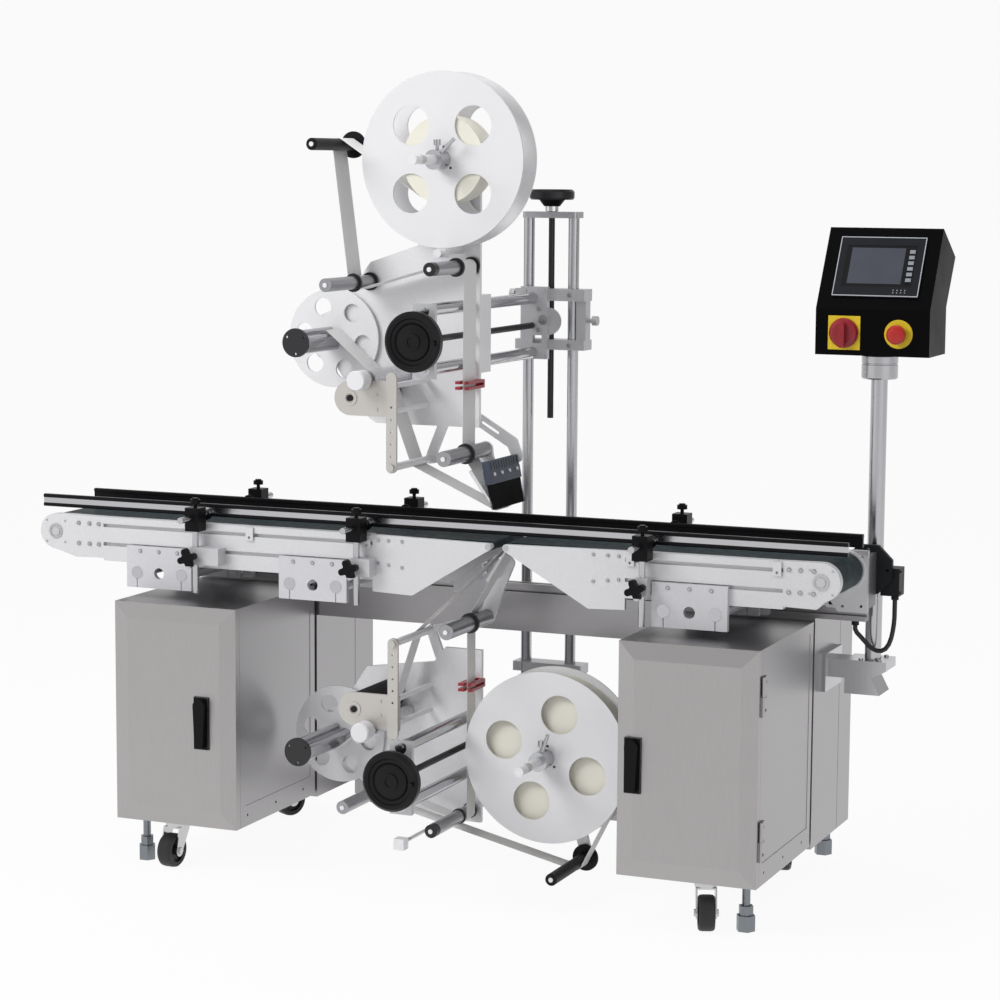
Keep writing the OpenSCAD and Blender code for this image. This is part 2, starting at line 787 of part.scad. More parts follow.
// The carriage on the lift posts, with the tilt dial and the upper slide shafts
module upper_carriage() {
    color("silver") {
        post_bar(1248, 1275, true);
        post_bar(1137, 1160, true);
        slab(845, 868, 625, 655, 1160, 1248);
        slide_shafts(upper_shaft_x, upper_shaft_z[0], upper_shaft_z[1], upper_screw_z, upper_bracket_y);
        plate_y(606, 610) difference() {
            spot(784, 1202, 31);
            translate([740, 1160]) square([44, 84]);
        }
        bar_x(640, 1204, 5, 868, 880);
        bar_x(640, 1204, 11, 880, 892);
        bar_x(640, 1262, 5, 690, 700);
        bar_x(640, 1262, 11, 678, 690);
    }
}

lower_shaft_x = 754;
lower_shaft_z = [358, 235];
lower_screw_z = 297;
lower_bracket_y = -120;

// The clamped carriage low on the posts, with the lower slide shafts
module lower_carriage() {
    color("silver") {
        post_bar(390, 412, false);
        post_bar(204, 226, false);
        slab(845, 868, 625, 655, 226, 390);
        slide_shafts(lower_shaft_x, lower_shaft_z[0], lower_shaft_z[1], lower_screw_z, lower_bracket_y);
    }
}

// A handwheel revolved about the Y axis: ringed face, dished back and hub
module handwheel_y(x, z, y_face) {
    r = handwheel_d / 2;
    translate([x, y_face, z]) rotate([-90, 0, 0]) rotate_extrude()
        polygon([
            [0, 2], [10, 2], [10, 0], [18, 0], [18, 3], [r - 27, 5], [r - 25, 2], [r - 23, 5],
            [r - 16, 4], [r - 14, 1], [r - 6, 0], [r, 6], [r, 19], [r - 6, 25], [r - 12, 22],
            [r - 16, 12], [18, 10], [15, 27], [0, 27]
        ]);
}

module cross_screw(x, z, wheel_y, bracket_y) {
    handwheel_y(x, z, wheel_y);
    bar_y(x, z, screw_r, wheel_y + 26, 612);
    bar_y(x, z, 11, bracket_y - 8, bracket_y - gap);
    // crank grip on the rim
    bar_y(x + handwheel_d / 2 - 12, z, 5, wheel_y - 10, wheel_y + 4);
}

module upper_cross_screw() {
    color("dimgray") cross_screw(upper_shaft_x, upper_screw_z, -57, upper_bracket_y);
}

module lower_cross_screw() {
    color("dimgray") cross_screw(lower_shaft_x, lower_screw_z, -176, lower_bracket_y);
}

// The lift screw, its collar on the top plate and the handwheel above it
module lift_screw() {
    top = post_top + 14;
    r = 51;
    color("dimgray") {
        bar_z(screw_x, post_y, screw_r, 979, top + 10);
        translate([screw_x, post_y, top]) rotate_extrude()
            polygon([
                [0, 5], [screw_r, 5], [screw_r, gap], [12, gap], [12, 26], [r - 12, 30], [r - 8, 27],
                [r - 3, 27], [r, 31], [r, 45], [r - 5, 50], [r - 12, 46], [16, 42], [12, 46], [0, 46]
            ]);
    }
}

// The screen's post, the collar under the housing, and the stepped bracket at its foot
module screen_post() {
    x = screen_post_x;
    y = screen_post_y;
    color("silver") {
        bar_z(x, y, screen_post_d / 2, 510, 1148);
        translate([x, y, 1111]) rotate_extrude()
            polygon([[screen_post_d / 2, 0], [36, 0], [38.5, 3], [38.5, 30], [37, 31], [37, 33],
                [38.5, 34], [38.5, 48], [screen_post_d / 2, 48]]);
        difference() {
            slab(1540, 1630, 438, 520, 437, 510);
            translate([1626, 430, 420]) rotate([0, -28, 0]) cube([60, 120, 60]);
        }
        slab(1490, 1560, 440, 500, 470, 510);
        slab(1484, 1500, 432, 560, 437, 520);
        for (dx = [0, 40], y2 = [448, 508])
            bar_z(1552 + dx + 20, y2 + 2, 5, 510, 514);
    }
}

// The screen housing's side view, drawn in by the sheet's thickness when asked
module screen_outline(t) {
    polygon([
        [400 + t, 1163 + t], [400 + t, 1260 - t * 0.3], [502 + t * 0.3, 1427 - t * 1.3],
        [612 - t * 1.35, 1365 - t * 0.3], [540 - t, 1262 + t * 0.3], [540 - t, 1163 + t]
    ]);
}

switch_x = 1533.5;
button_x = 1649.5;
control_z = 1210;

module screen_box() {
    x0 = screen_x0;
    x1 = x0 + screen_w;
    color("black") difference() {
        union() {
            difference() {
                run_x(x0, x1) screen_outline(0);
                run_x(x0 + 3, x1 - 3) screen_outline(3);
            }
            slab(switch_x - 34, switch_x + 34, 397.5, 400, control_z - 35, control_z + 35);
            bar_y(button_x, control_z, 29.5, 398, 400);
            bar_y(button_x, control_z, 15, 390, 398);
            bar_z(screen_post_x, screen_post_y, 34, 1159.5, 1166);
            bar_z(screen_post_x, screen_post_y, screen_post_d / 2 - run, 1148 + gap, 1162);
        }
        bar_y(switch_x, control_z, 5 + run, 390, 404);
        bar_y(button_x, control_z, 8 + run, 380, 404);
    }
}

// Places what is drawn flat onto the housing's sloping face, from its lower edge
module on_slope() {
    translate([screen_x0 + screen_w / 2, 400, 1260]) rotate([atan2(167, 102), 0, 0]) children();
}

module touch_screen() {
    bezel_w = 184;
    bezel_h = 142;
    low = 28.5;
    color("slategray") on_slope() difference() {
        translate([-bezel_w / 2, low, 0]) {
            cube([bezel_w, bezel_h, 3.5]);
            translate([2, 2, 3.5]) cube([bezel_w - 4, bezel_h - 4, 2]);
        }
        translate([-bezel_w / 2 + bezel_w * 0.09, low + bezel_h * 0.16, 4])
            cube([bezel_w * 0.815, bezel_h * 0.695, 3]);
    }
    color("darkslateblue") on_slope() {
        translate([-bezel_w / 2 + bezel_w * 0.15, low + bezel_h * 0.2, 4])
            cube([bezel_w * 0.62, bezel_h * 0.61, 0.6]);
        for (k = [0:5])
            translate([-bezel_w / 2 + bezel_w * 0.815, low + bezel_h * (0.2 + k * 0.106), 4])
                cube([12, 8.5, 1]);
    }
}

// The main switch: a round escutcheon with a bar grip and its spindle
module rotary_switch() {
    color("firebrick") {
        translate([switch_x, 397.5 - gap, control_z]) rotate([90, 0, 0]) rotate_extrude()
            polygon([[0, 0], [31, 0], [31, 5], [28, 10], [22, 12], [0, 12]]);
        plate_y(372, 386) link_2d([switch_x, control_z + 16], [switch_x, control_z - 24], 13);
        bar_y(switch_x, control_z, 5, 397, 404);
    }
}

// The mushroom stop button and its plunger
module stop_button() {
    color("firebrick") translate([button_x, 390, control_z]) rotate([90, 0, 0]) rotate_extrude()
        polygon([[0, -12], [8, -12], [8, 5], [19, 5], [20, 7], [20, 15], [17, 19], [10, 21], [0, 21.5]]);
}

// Points of a label head in X and Z
U_SUPPLY = [716, 1564];
U_REWIND = [423, 1174];
U_DRIVE = [552, 1061];
U_IDLER_LEFT = [510, 1300];
U_IDLER_RIGHT = [750.6, 1338];
U_DANCER = [470, 1595];
U_PEEL = [781.5, 944];
U_TIP = [842, 826];
U_RETURN = [651, 917];
L_SUPPLY = [963, 298];
L_REWIND = [437, 289];
L_DRIVE = [561, 390];
L_IDLER_LEFT = [549, 179];
L_IDLER_RIGHT = [757.6, 148];
L_DANCER = [1026, 68];
L_PEEL = [788.5, 578];
L_TIP = [870, 750];
L_RETURN = [655, 540];

// The nip: how far the pinch roller's axis is from the drive roller's, and where
pinch_r = 20;
nip_gap = 1.2;
nip_angle = 48.5;
nip = drive_roller_r + pinch_r + nip_gap;
U_PINCH = U_DRIVE + nip * [cos(nip_angle), sin(nip_angle)];
L_PINCH = L_DRIVE + nip * [cos(nip_angle), -sin(nip_angle)];
peel_r = 16.5;
dancer_r = 13;
return_r = 8;
tip_r = 2;
mandrel_r = 27;
journal_r = 7;
side_front = 58;
side_back = 64;
upper_web_y = 168.5;
lower_web_y = 182;

// A web's path is a list of [centre, radius, side], side 1 where it turns to its left
// round the centre and -1 to its right. The edge runs along the path, shifted to the left.
function signed(c, shift) = c[2] * (c[1] + gap + web_t / 2) - shift;
function heading(a, b, shift) =
    let (d = b[0] - a[0]) atan2(d[1], d[0]) + asin((signed(a, shift) - signed(b, shift)) / norm(d));
function edge(w, shift) = [
    for (k = [0:len(w) - 1])
        let (
            c = w[k],
            ahead = heading(w[min(k, len(w) - 2)], w[min(k, len(w) - 2) + 1], shift),
            behind = k == 0 ? ahead : heading(w[k - 1], w[k], shift),
            start = k == len(w) - 1 ? heading(w[k - 1], w[k], shift) : behind,
            stop = k == len(w) - 1 ? start : ahead,
            turn = c[2] * ((c[2] * (stop - start) + 720) % 360),
            steps = k == 0 || k == len(w) - 1 ? 0 : max(2, ceil(abs(turn) / 12))
        )
        for (s = [0:steps])
            let (t = start + (steps == 0 ? 0 : turn * s / steps))
                c[0] + signed(c, shift) * [sin(t), -cos(t)]
];

module web(w, y0, y1) {
    left = edge(w, web_t / 2);
    right = edge(w, -web_t / 2);
    n = len(right);
    plate_y(y0, y1) polygon(concat(left, [for (k = [0:n - 1]) right[n - 1 - k]]));
}

UPPER_WEB = [
    [U_SUPPLY, upper_roll_d / 2, -1], [U_DANCER, dancer_r, 1], [U_IDLER_LEFT, idler_r, 1],
    [U_IDLER_RIGHT, idler_r, -1], [U_PEEL, peel_r, 1], [U_TIP, tip_r, -1],
    [U_RETURN, return_r, -1], [U_DRIVE, drive_roller_r, 1], [U_REWIND, mandrel_r, 1]
];
LOWER_WEB = [
    [L_SUPPLY, lower_roll_d / 2, -1], [L_DANCER, dancer_r, -1], [L_IDLER_LEFT, idler_r, -1],
    [L_IDLER_RIGHT, idler_r, 1], [L_PEEL, peel_r, -1], [L_TIP, tip_r, 1],
    [L_RETURN, return_r, 1], [L_DRIVE, drive_roller_r, -1], [L_REWIND, mandrel_r, -1]
];

module upper_web() {
    color("white") web(UPPER_WEB, upper_web_y, upper_web_y + upper_web_w);
}

module lower_web() {
    color("white") web(LOWER_WEB, lower_web_y, lower_web_y + lower_web_w);
}

// What both heads carry: pins, spacers, the driving motor, the peel blade and its arms.
// up is 1 on the upper head, and -1 on the lower one, which hangs the other way up.
module head_parts(supply, rewind, drive, pinch, idlers, dancer, peel, tip, back_to, shaft_x, zs, z_screw, up) {
    steer = heading([peel, peel_r, up], [tip, tip_r, -up], 0);
    blade_root = tip - 96 * [cos(steer), sin(steer)];
    arm_root = tip - 60 * [cos(steer), sin(steer)];
    // plate's slide block, with the bores for the shafts and the cross screw
    plate_y(plate_back, block_back) difference() {
        translate([shaft_x - 23, zs[1] - 22]) square([44, zs[0] - zs[1] + 44]);
        for (z = zs)
            spot(shaft_x, z, slide_r + run);
        spot(shaft_x, z_screw, screw_r + run);
    }
    // pins for the reels and rollers that turn on them
    bar_y(supply[0], supply[1], hub_r, 14, plate_front);
    bar_y(rewind[0], rewind[1], 8, 120, plate_front);
    for (p = idlers)
        bar_y(p[0], p[1], pin_r, 22, plate_front);
    bar_y(dancer[0], dancer[1], pin_r, 40, plate_front);
    bar_y(peel[0], peel[1], pin_r, 26, plate_front);
    bar_y(back_to[0], back_to[1], return_r, 46, plate_front);
    // front side plate that holds the drive and pinch rollers
    plate_y(side_front, side_back) difference() {
        union() {
            spot(drive[0], drive[1], 37);
            spot(pinch[0], pinch[1], 14);
            translate([drive[0], drive[1] + (up > 0 ? -37 : -39)]) square([107, 76]);
        }
        spot(drive[0], drive[1], journal_r + run);
        spot(pinch[0], pinch[1], journal_r + run);
    }
    plate_y(side_front - 2, side_front) difference() {
        spot(drive[0], drive[1], 16);
        spot(drive[0], drive[1], 10);
    }
    for (dz = [-26, 28])
        bar_y(drive[0] + 93, drive[1] + up * dz, 6, side_back, plate_front);
    for (dx = [62, 98], dz = [-22, 8])
        screw_y(drive[0] + dx, drive[1] + up * dz, side_front, 3.5);
    // bar in front of the side plate that carries the outer end of the return rod
    plate_y(side_front - 6, side_front) difference() {
        link_2d(back_to, [back_to[0], drive[1] + up * 46], 24);
        for (k = [0:4])
            spot(back_to[0], back_to[1] + up * (24 + k * 26), 2.5);
    }
    // blade the web turns over, its stiffening rods, and the arm to the plate
    plate_y(up > 0 ? 166 : 178, plate_front) link_2d(tip, blade_root, 2 * tip_r);
    for (y = up > 0 ? [176, 214, 240] : [188, 214, 238])
        translate([blade_root[0], y, blade_root[1]])
            rotate([0, 90 - steer, 0]) translate([5.2 * up, 0, -4]) cylinder(h = 56, r = 4);
    plate_y(plate_front, plate_front + 8) {
        link_2d(peel, arm_root, 26);
        link_2d(peel, blade_root, 34);
        link_2d(back_to, [back_to[0] + 30, drive[1] - up * 70], 22);
        link_2d(back_to + [6, 0], peel, 20);
    }
    // motor behind the drive roller and the brake behind the supply reel
    difference() {
        slab(drive[0] - 43, drive[0] + 43, plate_back, plate_back + 78, drive[1] - 43, drive[1] + 43);
        bar_y(drive[0], drive[1], journal_r + run, plate_back - cut, plate_back + 12);
        bar_y(pinch[0], pinch[1], journal_r + run, plate_back - cut, plate_back + 2);
    }
    bar_y(supply[0], supply[1], 30, plate_back, plate_back + 26);
    bar_y(rewind[0], rewind[1], 34, plate_back, plate_back + 46);
    // arm that carries the dancer's pin
    plate_y(plate_front, plate_back) {
        link_2d(supply, dancer, 26);
        spot(dancer[0], dancer[1], 15);
    }
    // label sensor's fork on its stay
    fork_x = shaft_x + (up > 0 ? 18 : 16);
    fork_z = up > 0 ? 1078 : 424;
    difference() {
        slab(fork_x - 16, fork_x + 16, up > 0 ? 163 : 174, plate_front, fork_z, fork_z + 18);
        slab(fork_x - 20, fork_x + 12, 100, 242, fork_z + 6, fork_z + 12);
        slab(shaft_x + 14, fork_x + 20, 100, 242, fork_z + 6, fork_z + 12);
        slab(shaft_x + 14, shaft_x + 24, 100, 242, fork_z - 1, fork_z + 19);
    }
}

// The back plate's holes: shafts, screw, and the two driven journals
module plate_holes(shaft_x, zs, z_screw, drive, pinch) {
    for (z = zs)
        spot(shaft_x, z, slide_r + run);
    spot(shaft_x, z_screw, screw_r + run);
    for (p = [drive, pinch])
        spot(p[0], p[1], journal_r + run);
}

module upper_head_plate() {
    color("gainsboro") {
        plate_y(plate_front, plate_back) difference() {
            union() {
                polygon([
                    [423, 1114], [505, 1000], [522, 990], [768, 990], [768, 1564], [667, 1564],
                    [622, 1380], [509, 1342], [423, 1234]
                ]);
                spot(U_REWIND[0], U_REWIND[1], 60);
                spot(U_SUPPLY[0], U_SUPPLY[1], 50);
            }
            plate_holes(upper_shaft_x, upper_shaft_z, upper_screw_z, U_DRIVE, U_PINCH);
        }
        head_parts(U_SUPPLY, U_REWIND, U_DRIVE, U_PINCH, [U_IDLER_LEFT, U_IDLER_RIGHT],
            U_DANCER, U_PEEL, U_TIP, U_RETURN, upper_shaft_x, upper_shaft_z, upper_screw_z, 1);
        // stay above the right idler, with its thumb screw
        bar_y(726, 1368, 4, 150, plate_front);
        slab(716, 736, 140, 160, 1359, 1377);
        bar_y(726, 1368, 9, 118, 140);
        // bent and slotted arm for the brush
        bar_y(752, 1003, 9, plate_back, 286);
        plate_y(286, 292) difference() {
            union() {
                link_2d([752, 1003], [830, 957], 27);
                link_2d([830, 957], [842, 928], 26);
            }
            link_2d([760, 998], [796, 977], 7);
        }
    }
}

module lower_head_plate() {
    color("gainsboro") {
        plate_y(plate_front, plate_back) difference() {
            union() {
                polygon([
                    [437, 349], [500, 446], [663, 469], [690, 503], [777, 503], [777, 348],
                    [963, 348], [963, 248], [777, 248], [777, 118], [700, 118], [530, 148], [437, 229]
                ]);
                spot(L_REWIND[0], L_REWIND[1], 60);
                spot(L_SUPPLY[0], L_SUPPLY[1], 50);
            }
            plate_holes(lower_shaft_x, lower_shaft_z, lower_screw_z, L_DRIVE, L_PINCH);
        }
        head_parts(L_SUPPLY, L_REWIND, L_DRIVE, L_PINCH, [L_IDLER_LEFT, L_IDLER_RIGHT],
            L_DANCER, L_PEEL, L_TIP, L_RETURN, lower_shaft_x, lower_shaft_z, lower_screw_z, -1);
        bar_y(690, 116, 4, 20, plate_front);
        slab(678, 702, 8, 32, 104, 128);
    }
}

// A supply reel: two discs, the label roll, the core and the clamp with its lever
module supply_reel(c, roll_d, roll_y0, roll_y1, lean) {
    r = supply_disc_d / 2;
    bore = hub_r + run;
    hole_r = 42;
    for (y = [163, 236])
        plate_y(y, y + 4) difference() {
            spot(c[0], c[1], r);
            spot(c[0], c[1], bore);
            for (k = [0:3])
                spot(c[0] + 101 * cos(k * 90 + lean), c[1] + 101 * sin(k * 90 + lean), hole_r);
        }
    translate([c[0], 0, c[1]]) rotate([-90, 0, 0]) rotate_extrude()
        polygon([
            [bore, 118], [21, 118], [21, 163], [38, 167], [38, roll_y0], [roll_d / 2, roll_y0],
            [roll_d / 2, roll_y1], [38, roll_y1], [38, 236], [24, 240], [24, 249.5], [bore, 249.5]
        ]);
    // clamp screw and lever on the collar
    bar_z(c[0], 140, 4, c[1] + 20, c[1] + 30);
    bar_z(c[0], 140, 8, c[1] + 30, c[1] + 42);
    translate([c[0], 128, c[1]]) rotate([0, -lean, 0]) translate([18, 0, 0]) rotate([0, 90, 0])
        cylinder(h = 44, r = 4);
}

module upper_supply_reel() {
    color("gainsboro") supply_reel(U_SUPPLY, upper_roll_d, 169, 236, 45);
}

module lower_supply_reel() {
    color("gainsboro") supply_reel(L_SUPPLY, lower_roll_d, 180, 230, 72);
}

// A rewind reel: pierced disc, square core with four rods, and the end ring
module rewind_reel(c, y_end) {
    bore = 8 + run;
    plate_y(240, 245) difference() {
        spot(c[0], c[1], rewind_disc_d / 2);
        spot(c[0], c[1], bore);
        for (k = [0:5])
            spot(c[0] + 72 * cos(111 + k * 60), c[1] + 72 * sin(111 + k * 60), 20);
    }
    difference() {
        union() {
            slab(c[0] - 15, c[0] + 15, y_end + 6, 240, c[1] - 15, c[1] + 15);
            for (k = [0:3])
                bar_y(c[0] + 20 * cos(k * 90 + 21), c[1] + 20 * sin(k * 90 + 21), 6.4, y_end + 6, 240);
        }
        bar_y(c[0], c[1], bore, 118, 246);
    }
    plate_y(y_end, y_end + 6) difference() {
        spot(c[0], c[1], 31);
        for (k = [0:2])
            spot(c[0] + 24 * cos(30 + k * 120), c[1] + 24 * sin(30 + k * 120), 3);
    }
}

module upper_rewind_reel() {
    color("gainsboro") rewind_reel(U_REWIND, 56);
}

module lower_rewind_reel() {
    color("gainsboro") rewind_reel(L_REWIND, 32);
}

// A rubber drive roller with its journals
module drive_roller(c) {
    r = drive_roller_r;
    translate([c[0], 0, c[1]]) rotate([-90, 0, 0]) rotate_extrude()
        polygon([
            [0, side_front - 3], [journal_r, side_front - 3], [journal_r, side_back + 4], [r - 2, side_back + 4],
            [r, side_back + 6], [r, 244], [r - 2, 246], [journal_r, 246], [journal_r, plate_back + 10],
            [0, plate_back + 10]
        ]);
}

module upper_drive_roller() {
    color("dimgray") drive_roller(U_DRIVE);
}

module lower_drive_roller() {
    color("dimgray") drive_roller(L_DRIVE);
}

// A pinch roller with a necked journal and the hand knob on its front end
module pinch_roller(c) {
    translate([c[0], 0, c[1]]) rotate([-90, 0, 0]) rotate_extrude()
        polygon([
            [0, 8], [19, 8], [21.5, 11], [21.5, 42], [17, 49], [journal_r, 49], [journal_r, side_back + 4],
            [pinch_r - 1, side_back + 4], [pinch_r, side_back + 5], [pinch_r, 245], [pinch_r - 1, 246],
            [journal_r, 246], [journal_r, plate_back], [0, plate_back]
        ]);
}

module upper_pinch_roller() {
    color("silver") pinch_roller(U_PINCH);
}

module lower_pinch_roller() {
    color("silver") pinch_roller(L_PINCH);
}

// A guide roller turning on its pin, with raised rings beside the web
module guide_roller(c, r, y0, rings, ring_r) {
    bore = pin_r + run;
    translate([c[0], 0, c[1]]) rotate([-90, 0, 0]) {
        rotate_extrude() polygon([[bore, y0], [r - 1, y0], [r, y0 + 1], [r, 248], [bore, 248]]);
        for (y = rings)
            translate([0, 0, y]) rotate_extrude()
                polygon([[r - 0.5, 0], [ring_r - 1, 0], [ring_r, 1], [ring_r, 6], [ring_r - 1, 7], [r - 0.5, 7]]);
    }
}

module upper_idler_left() {
    color("silver") guide_roller(U_IDLER_LEFT, idler_r, 24, [158, 240], 20);
}

module upper_idler_right() {
    color("silver") guide_roller(U_IDLER_RIGHT, idler_r, 24, [158, 240], 20);
}

module upper_dancer() {
    color("dimgray") guide_roller(U_DANCER, dancer_r, 42, [241], 29);
}

module upper_peel_roller() {
    color("silver") guide_roller(U_PEEL, peel_r, 30, [142], 22);
}

module lower_idler_left() {
    color("silver") guide_roller(L_IDLER_LEFT, idler_r, 24, [170, 230], 20);
}

module lower_idler_right() {
    color("silver") guide_roller(L_IDLER_RIGHT, idler_r, 24, [170, 230], 17);
}

module lower_dancer() {
    color("dimgray") guide_roller(L_DANCER, dancer_r, 42, [241], 29);
}

module lower_peel_roller() {
    color("silver") guide_roller(L_PEEL, peel_r, 30, [154], 22);
}

// The wipe-down brush: slotted holder in four segments and rows of square-ended bristles
brush_lean = 12;
brush_y0 = 120;
brush_y1 = 286;
bristle_rows = 5;
bristle_count = 80;
module upper_brush() {
    segment = (brush_y1 - brush_y0) / 4;
    pitch = (brush_y1 - brush_y0 - 4) / bristle_count;
    translate([836, 0, 932]) rotate([0, -brush_lean, 0]) {
        color("darkslateblue") difference() {
            translate([-8, brush_y0, -50]) cube([16, brush_y1 - brush_y0, 50]);
            for (k = [1:3])
                translate([-9, brush_y0 + k * segment - 1.5, -22]) cube([18, 3, 23]);
            for (k = [0:3], s = [0.3, 0.7])
                translate([-9, brush_y0 + (k + s) * segment - 1.5, -26]) cube([4, 3, 27]);
        }
        color("black") for (k = [0:bristle_count - 1], j = [0:bristle_rows - 1])
            translate([(j - (bristle_rows - 1) / 2) * 2.1, brush_y0 + 2 + (k + 0.5) * pitch, -104])
                rotate((k + j) % 2 * 60) cylinder(h = 55, r = 0.8, $fn = 3);
    }
}

place() cabinet_left();
place() cabinet_right();
place() rear_beams();
place() levelling_feet();
place() conveyor_mounts();
place() infeed_frame();
place() outfeed_frame();
place() infeed_belt();
place() outfeed_belt();
place() guide_brackets();
place() drive_motor();
place() motor_cable();
place() lift_posts();
place() lower_carriage();
place() screen_post();
place() left_door();
place() right_door();
place() left_latch();
place() right_latch();
place() front_left_fork();
place() front_right_fork();
place() rear_left_fork();
place() rear_right_fork();
place() front_left_wheel();
place() front_right_wheel();
place() rear_left_wheel();
place() rear_right_wheel();
place() tail_pulley();
place() drive_pulley();
place() front_guide_rail();
place() rear_guide_rail();
place() screen_box();
place() touch_screen();
place() rotary_switch();
place() stop_button();
place() lift_screw();
place() upper_carriage();
place() upper_cross_screw();
place() upper_head_plate();
place() upper_web();
place() upper_supply_reel();
place() upper_rewind_reel();
place() upper_drive_roller();
place() upper_pinch_roller();
place() upper_idler_left();
place() upper_idler_right();
place() upper_dancer();
place() upper_peel_roller();
place() upper_brush();
place() lower_cross_screw();
place() lower_head_plate();
place() lower_web();
place() lower_supply_reel();
place() lower_rewind_reel();
place() lower_drive_roller();
place() lower_pinch_roller();
place() lower_idler_left();
place() lower_idler_right();
place() lower_dancer();
place() lower_peel_roller();
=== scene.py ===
import math
import random

import bmesh
import bpy
from mathutils import Matrix, Vector


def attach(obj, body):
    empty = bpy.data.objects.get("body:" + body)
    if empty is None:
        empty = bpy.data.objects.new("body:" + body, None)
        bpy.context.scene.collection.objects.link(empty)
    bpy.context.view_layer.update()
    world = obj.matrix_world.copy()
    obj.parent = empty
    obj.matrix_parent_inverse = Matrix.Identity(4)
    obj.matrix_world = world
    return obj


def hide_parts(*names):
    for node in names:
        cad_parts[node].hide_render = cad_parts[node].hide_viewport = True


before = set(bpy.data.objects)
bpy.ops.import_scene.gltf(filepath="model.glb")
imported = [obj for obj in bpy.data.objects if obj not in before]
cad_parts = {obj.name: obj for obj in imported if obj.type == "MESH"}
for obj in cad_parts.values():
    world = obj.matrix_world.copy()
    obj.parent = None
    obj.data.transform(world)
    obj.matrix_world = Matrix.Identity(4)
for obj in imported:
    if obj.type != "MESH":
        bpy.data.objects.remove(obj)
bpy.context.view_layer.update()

# Places are in millimetres of the part's own layout, whose middle is the row frame's origin
CENTRE_X = 726
CENTRE_Y = 261
ORIGIN = {"X": CENTRE_X, "Y": CENTRE_Y, "Z": 0}
random.seed(7)


def at(x, y, z):
    """A place in layout millimetres, in metres of the row frame."""
    return Vector(((x - CENTRE_X) / 1000, (y - CENTRE_Y) / 1000, z / 1000))


def row(axis, value):
    """A layout value on one axis, in metres of the row frame."""
    return (value - ORIGIN[axis]) / 1000


# Camera at the photograph's viewing angle
SENSOR_WIDTH = 36
LENS = 96.719
CAMERA_PLACE = (3044.27, -5060, 1557.95)
YAW = 22.747
PITCH = 7.152
ROLL = 0.359


def turned(degrees, axis):
    return Matrix.Rotation(math.radians(degrees), 4, axis)


camera = bpy.data.cameras.new("camera")
camera.sensor_width = SENSOR_WIDTH
camera.lens = LENS
camera_object = bpy.data.objects.new("camera", camera)
camera_object.rotation_mode = "QUATERNION"
camera_object.location = at(*CAMERA_PLACE)
aim = turned(YAW, "Z") @ turned(90 - PITCH, "X") @ turned(ROLL, "Z")
camera_object.rotation_quaternion = aim.to_quaternion()
bpy.context.collection.objects.link(camera_object)
bpy.context.scene.camera = camera_object

# Sockets of the Mix node, which has one set for colours and one for values
COLOR_A, COLOR_B, COLOR_OUT = 6, 7, 2
VALUE_A, VALUE_B, VALUE_OUT = 2, 3, 0

# How far the noise patterns reach: detail, and the part of their range that is spread from 0 to 1
NOISE_DETAIL = 3.0
NOISE_LOW, NOISE_HIGH = 0.3, 0.7
BUMP_STRENGTH = 0.6
EVEN = (1, 1, 1)


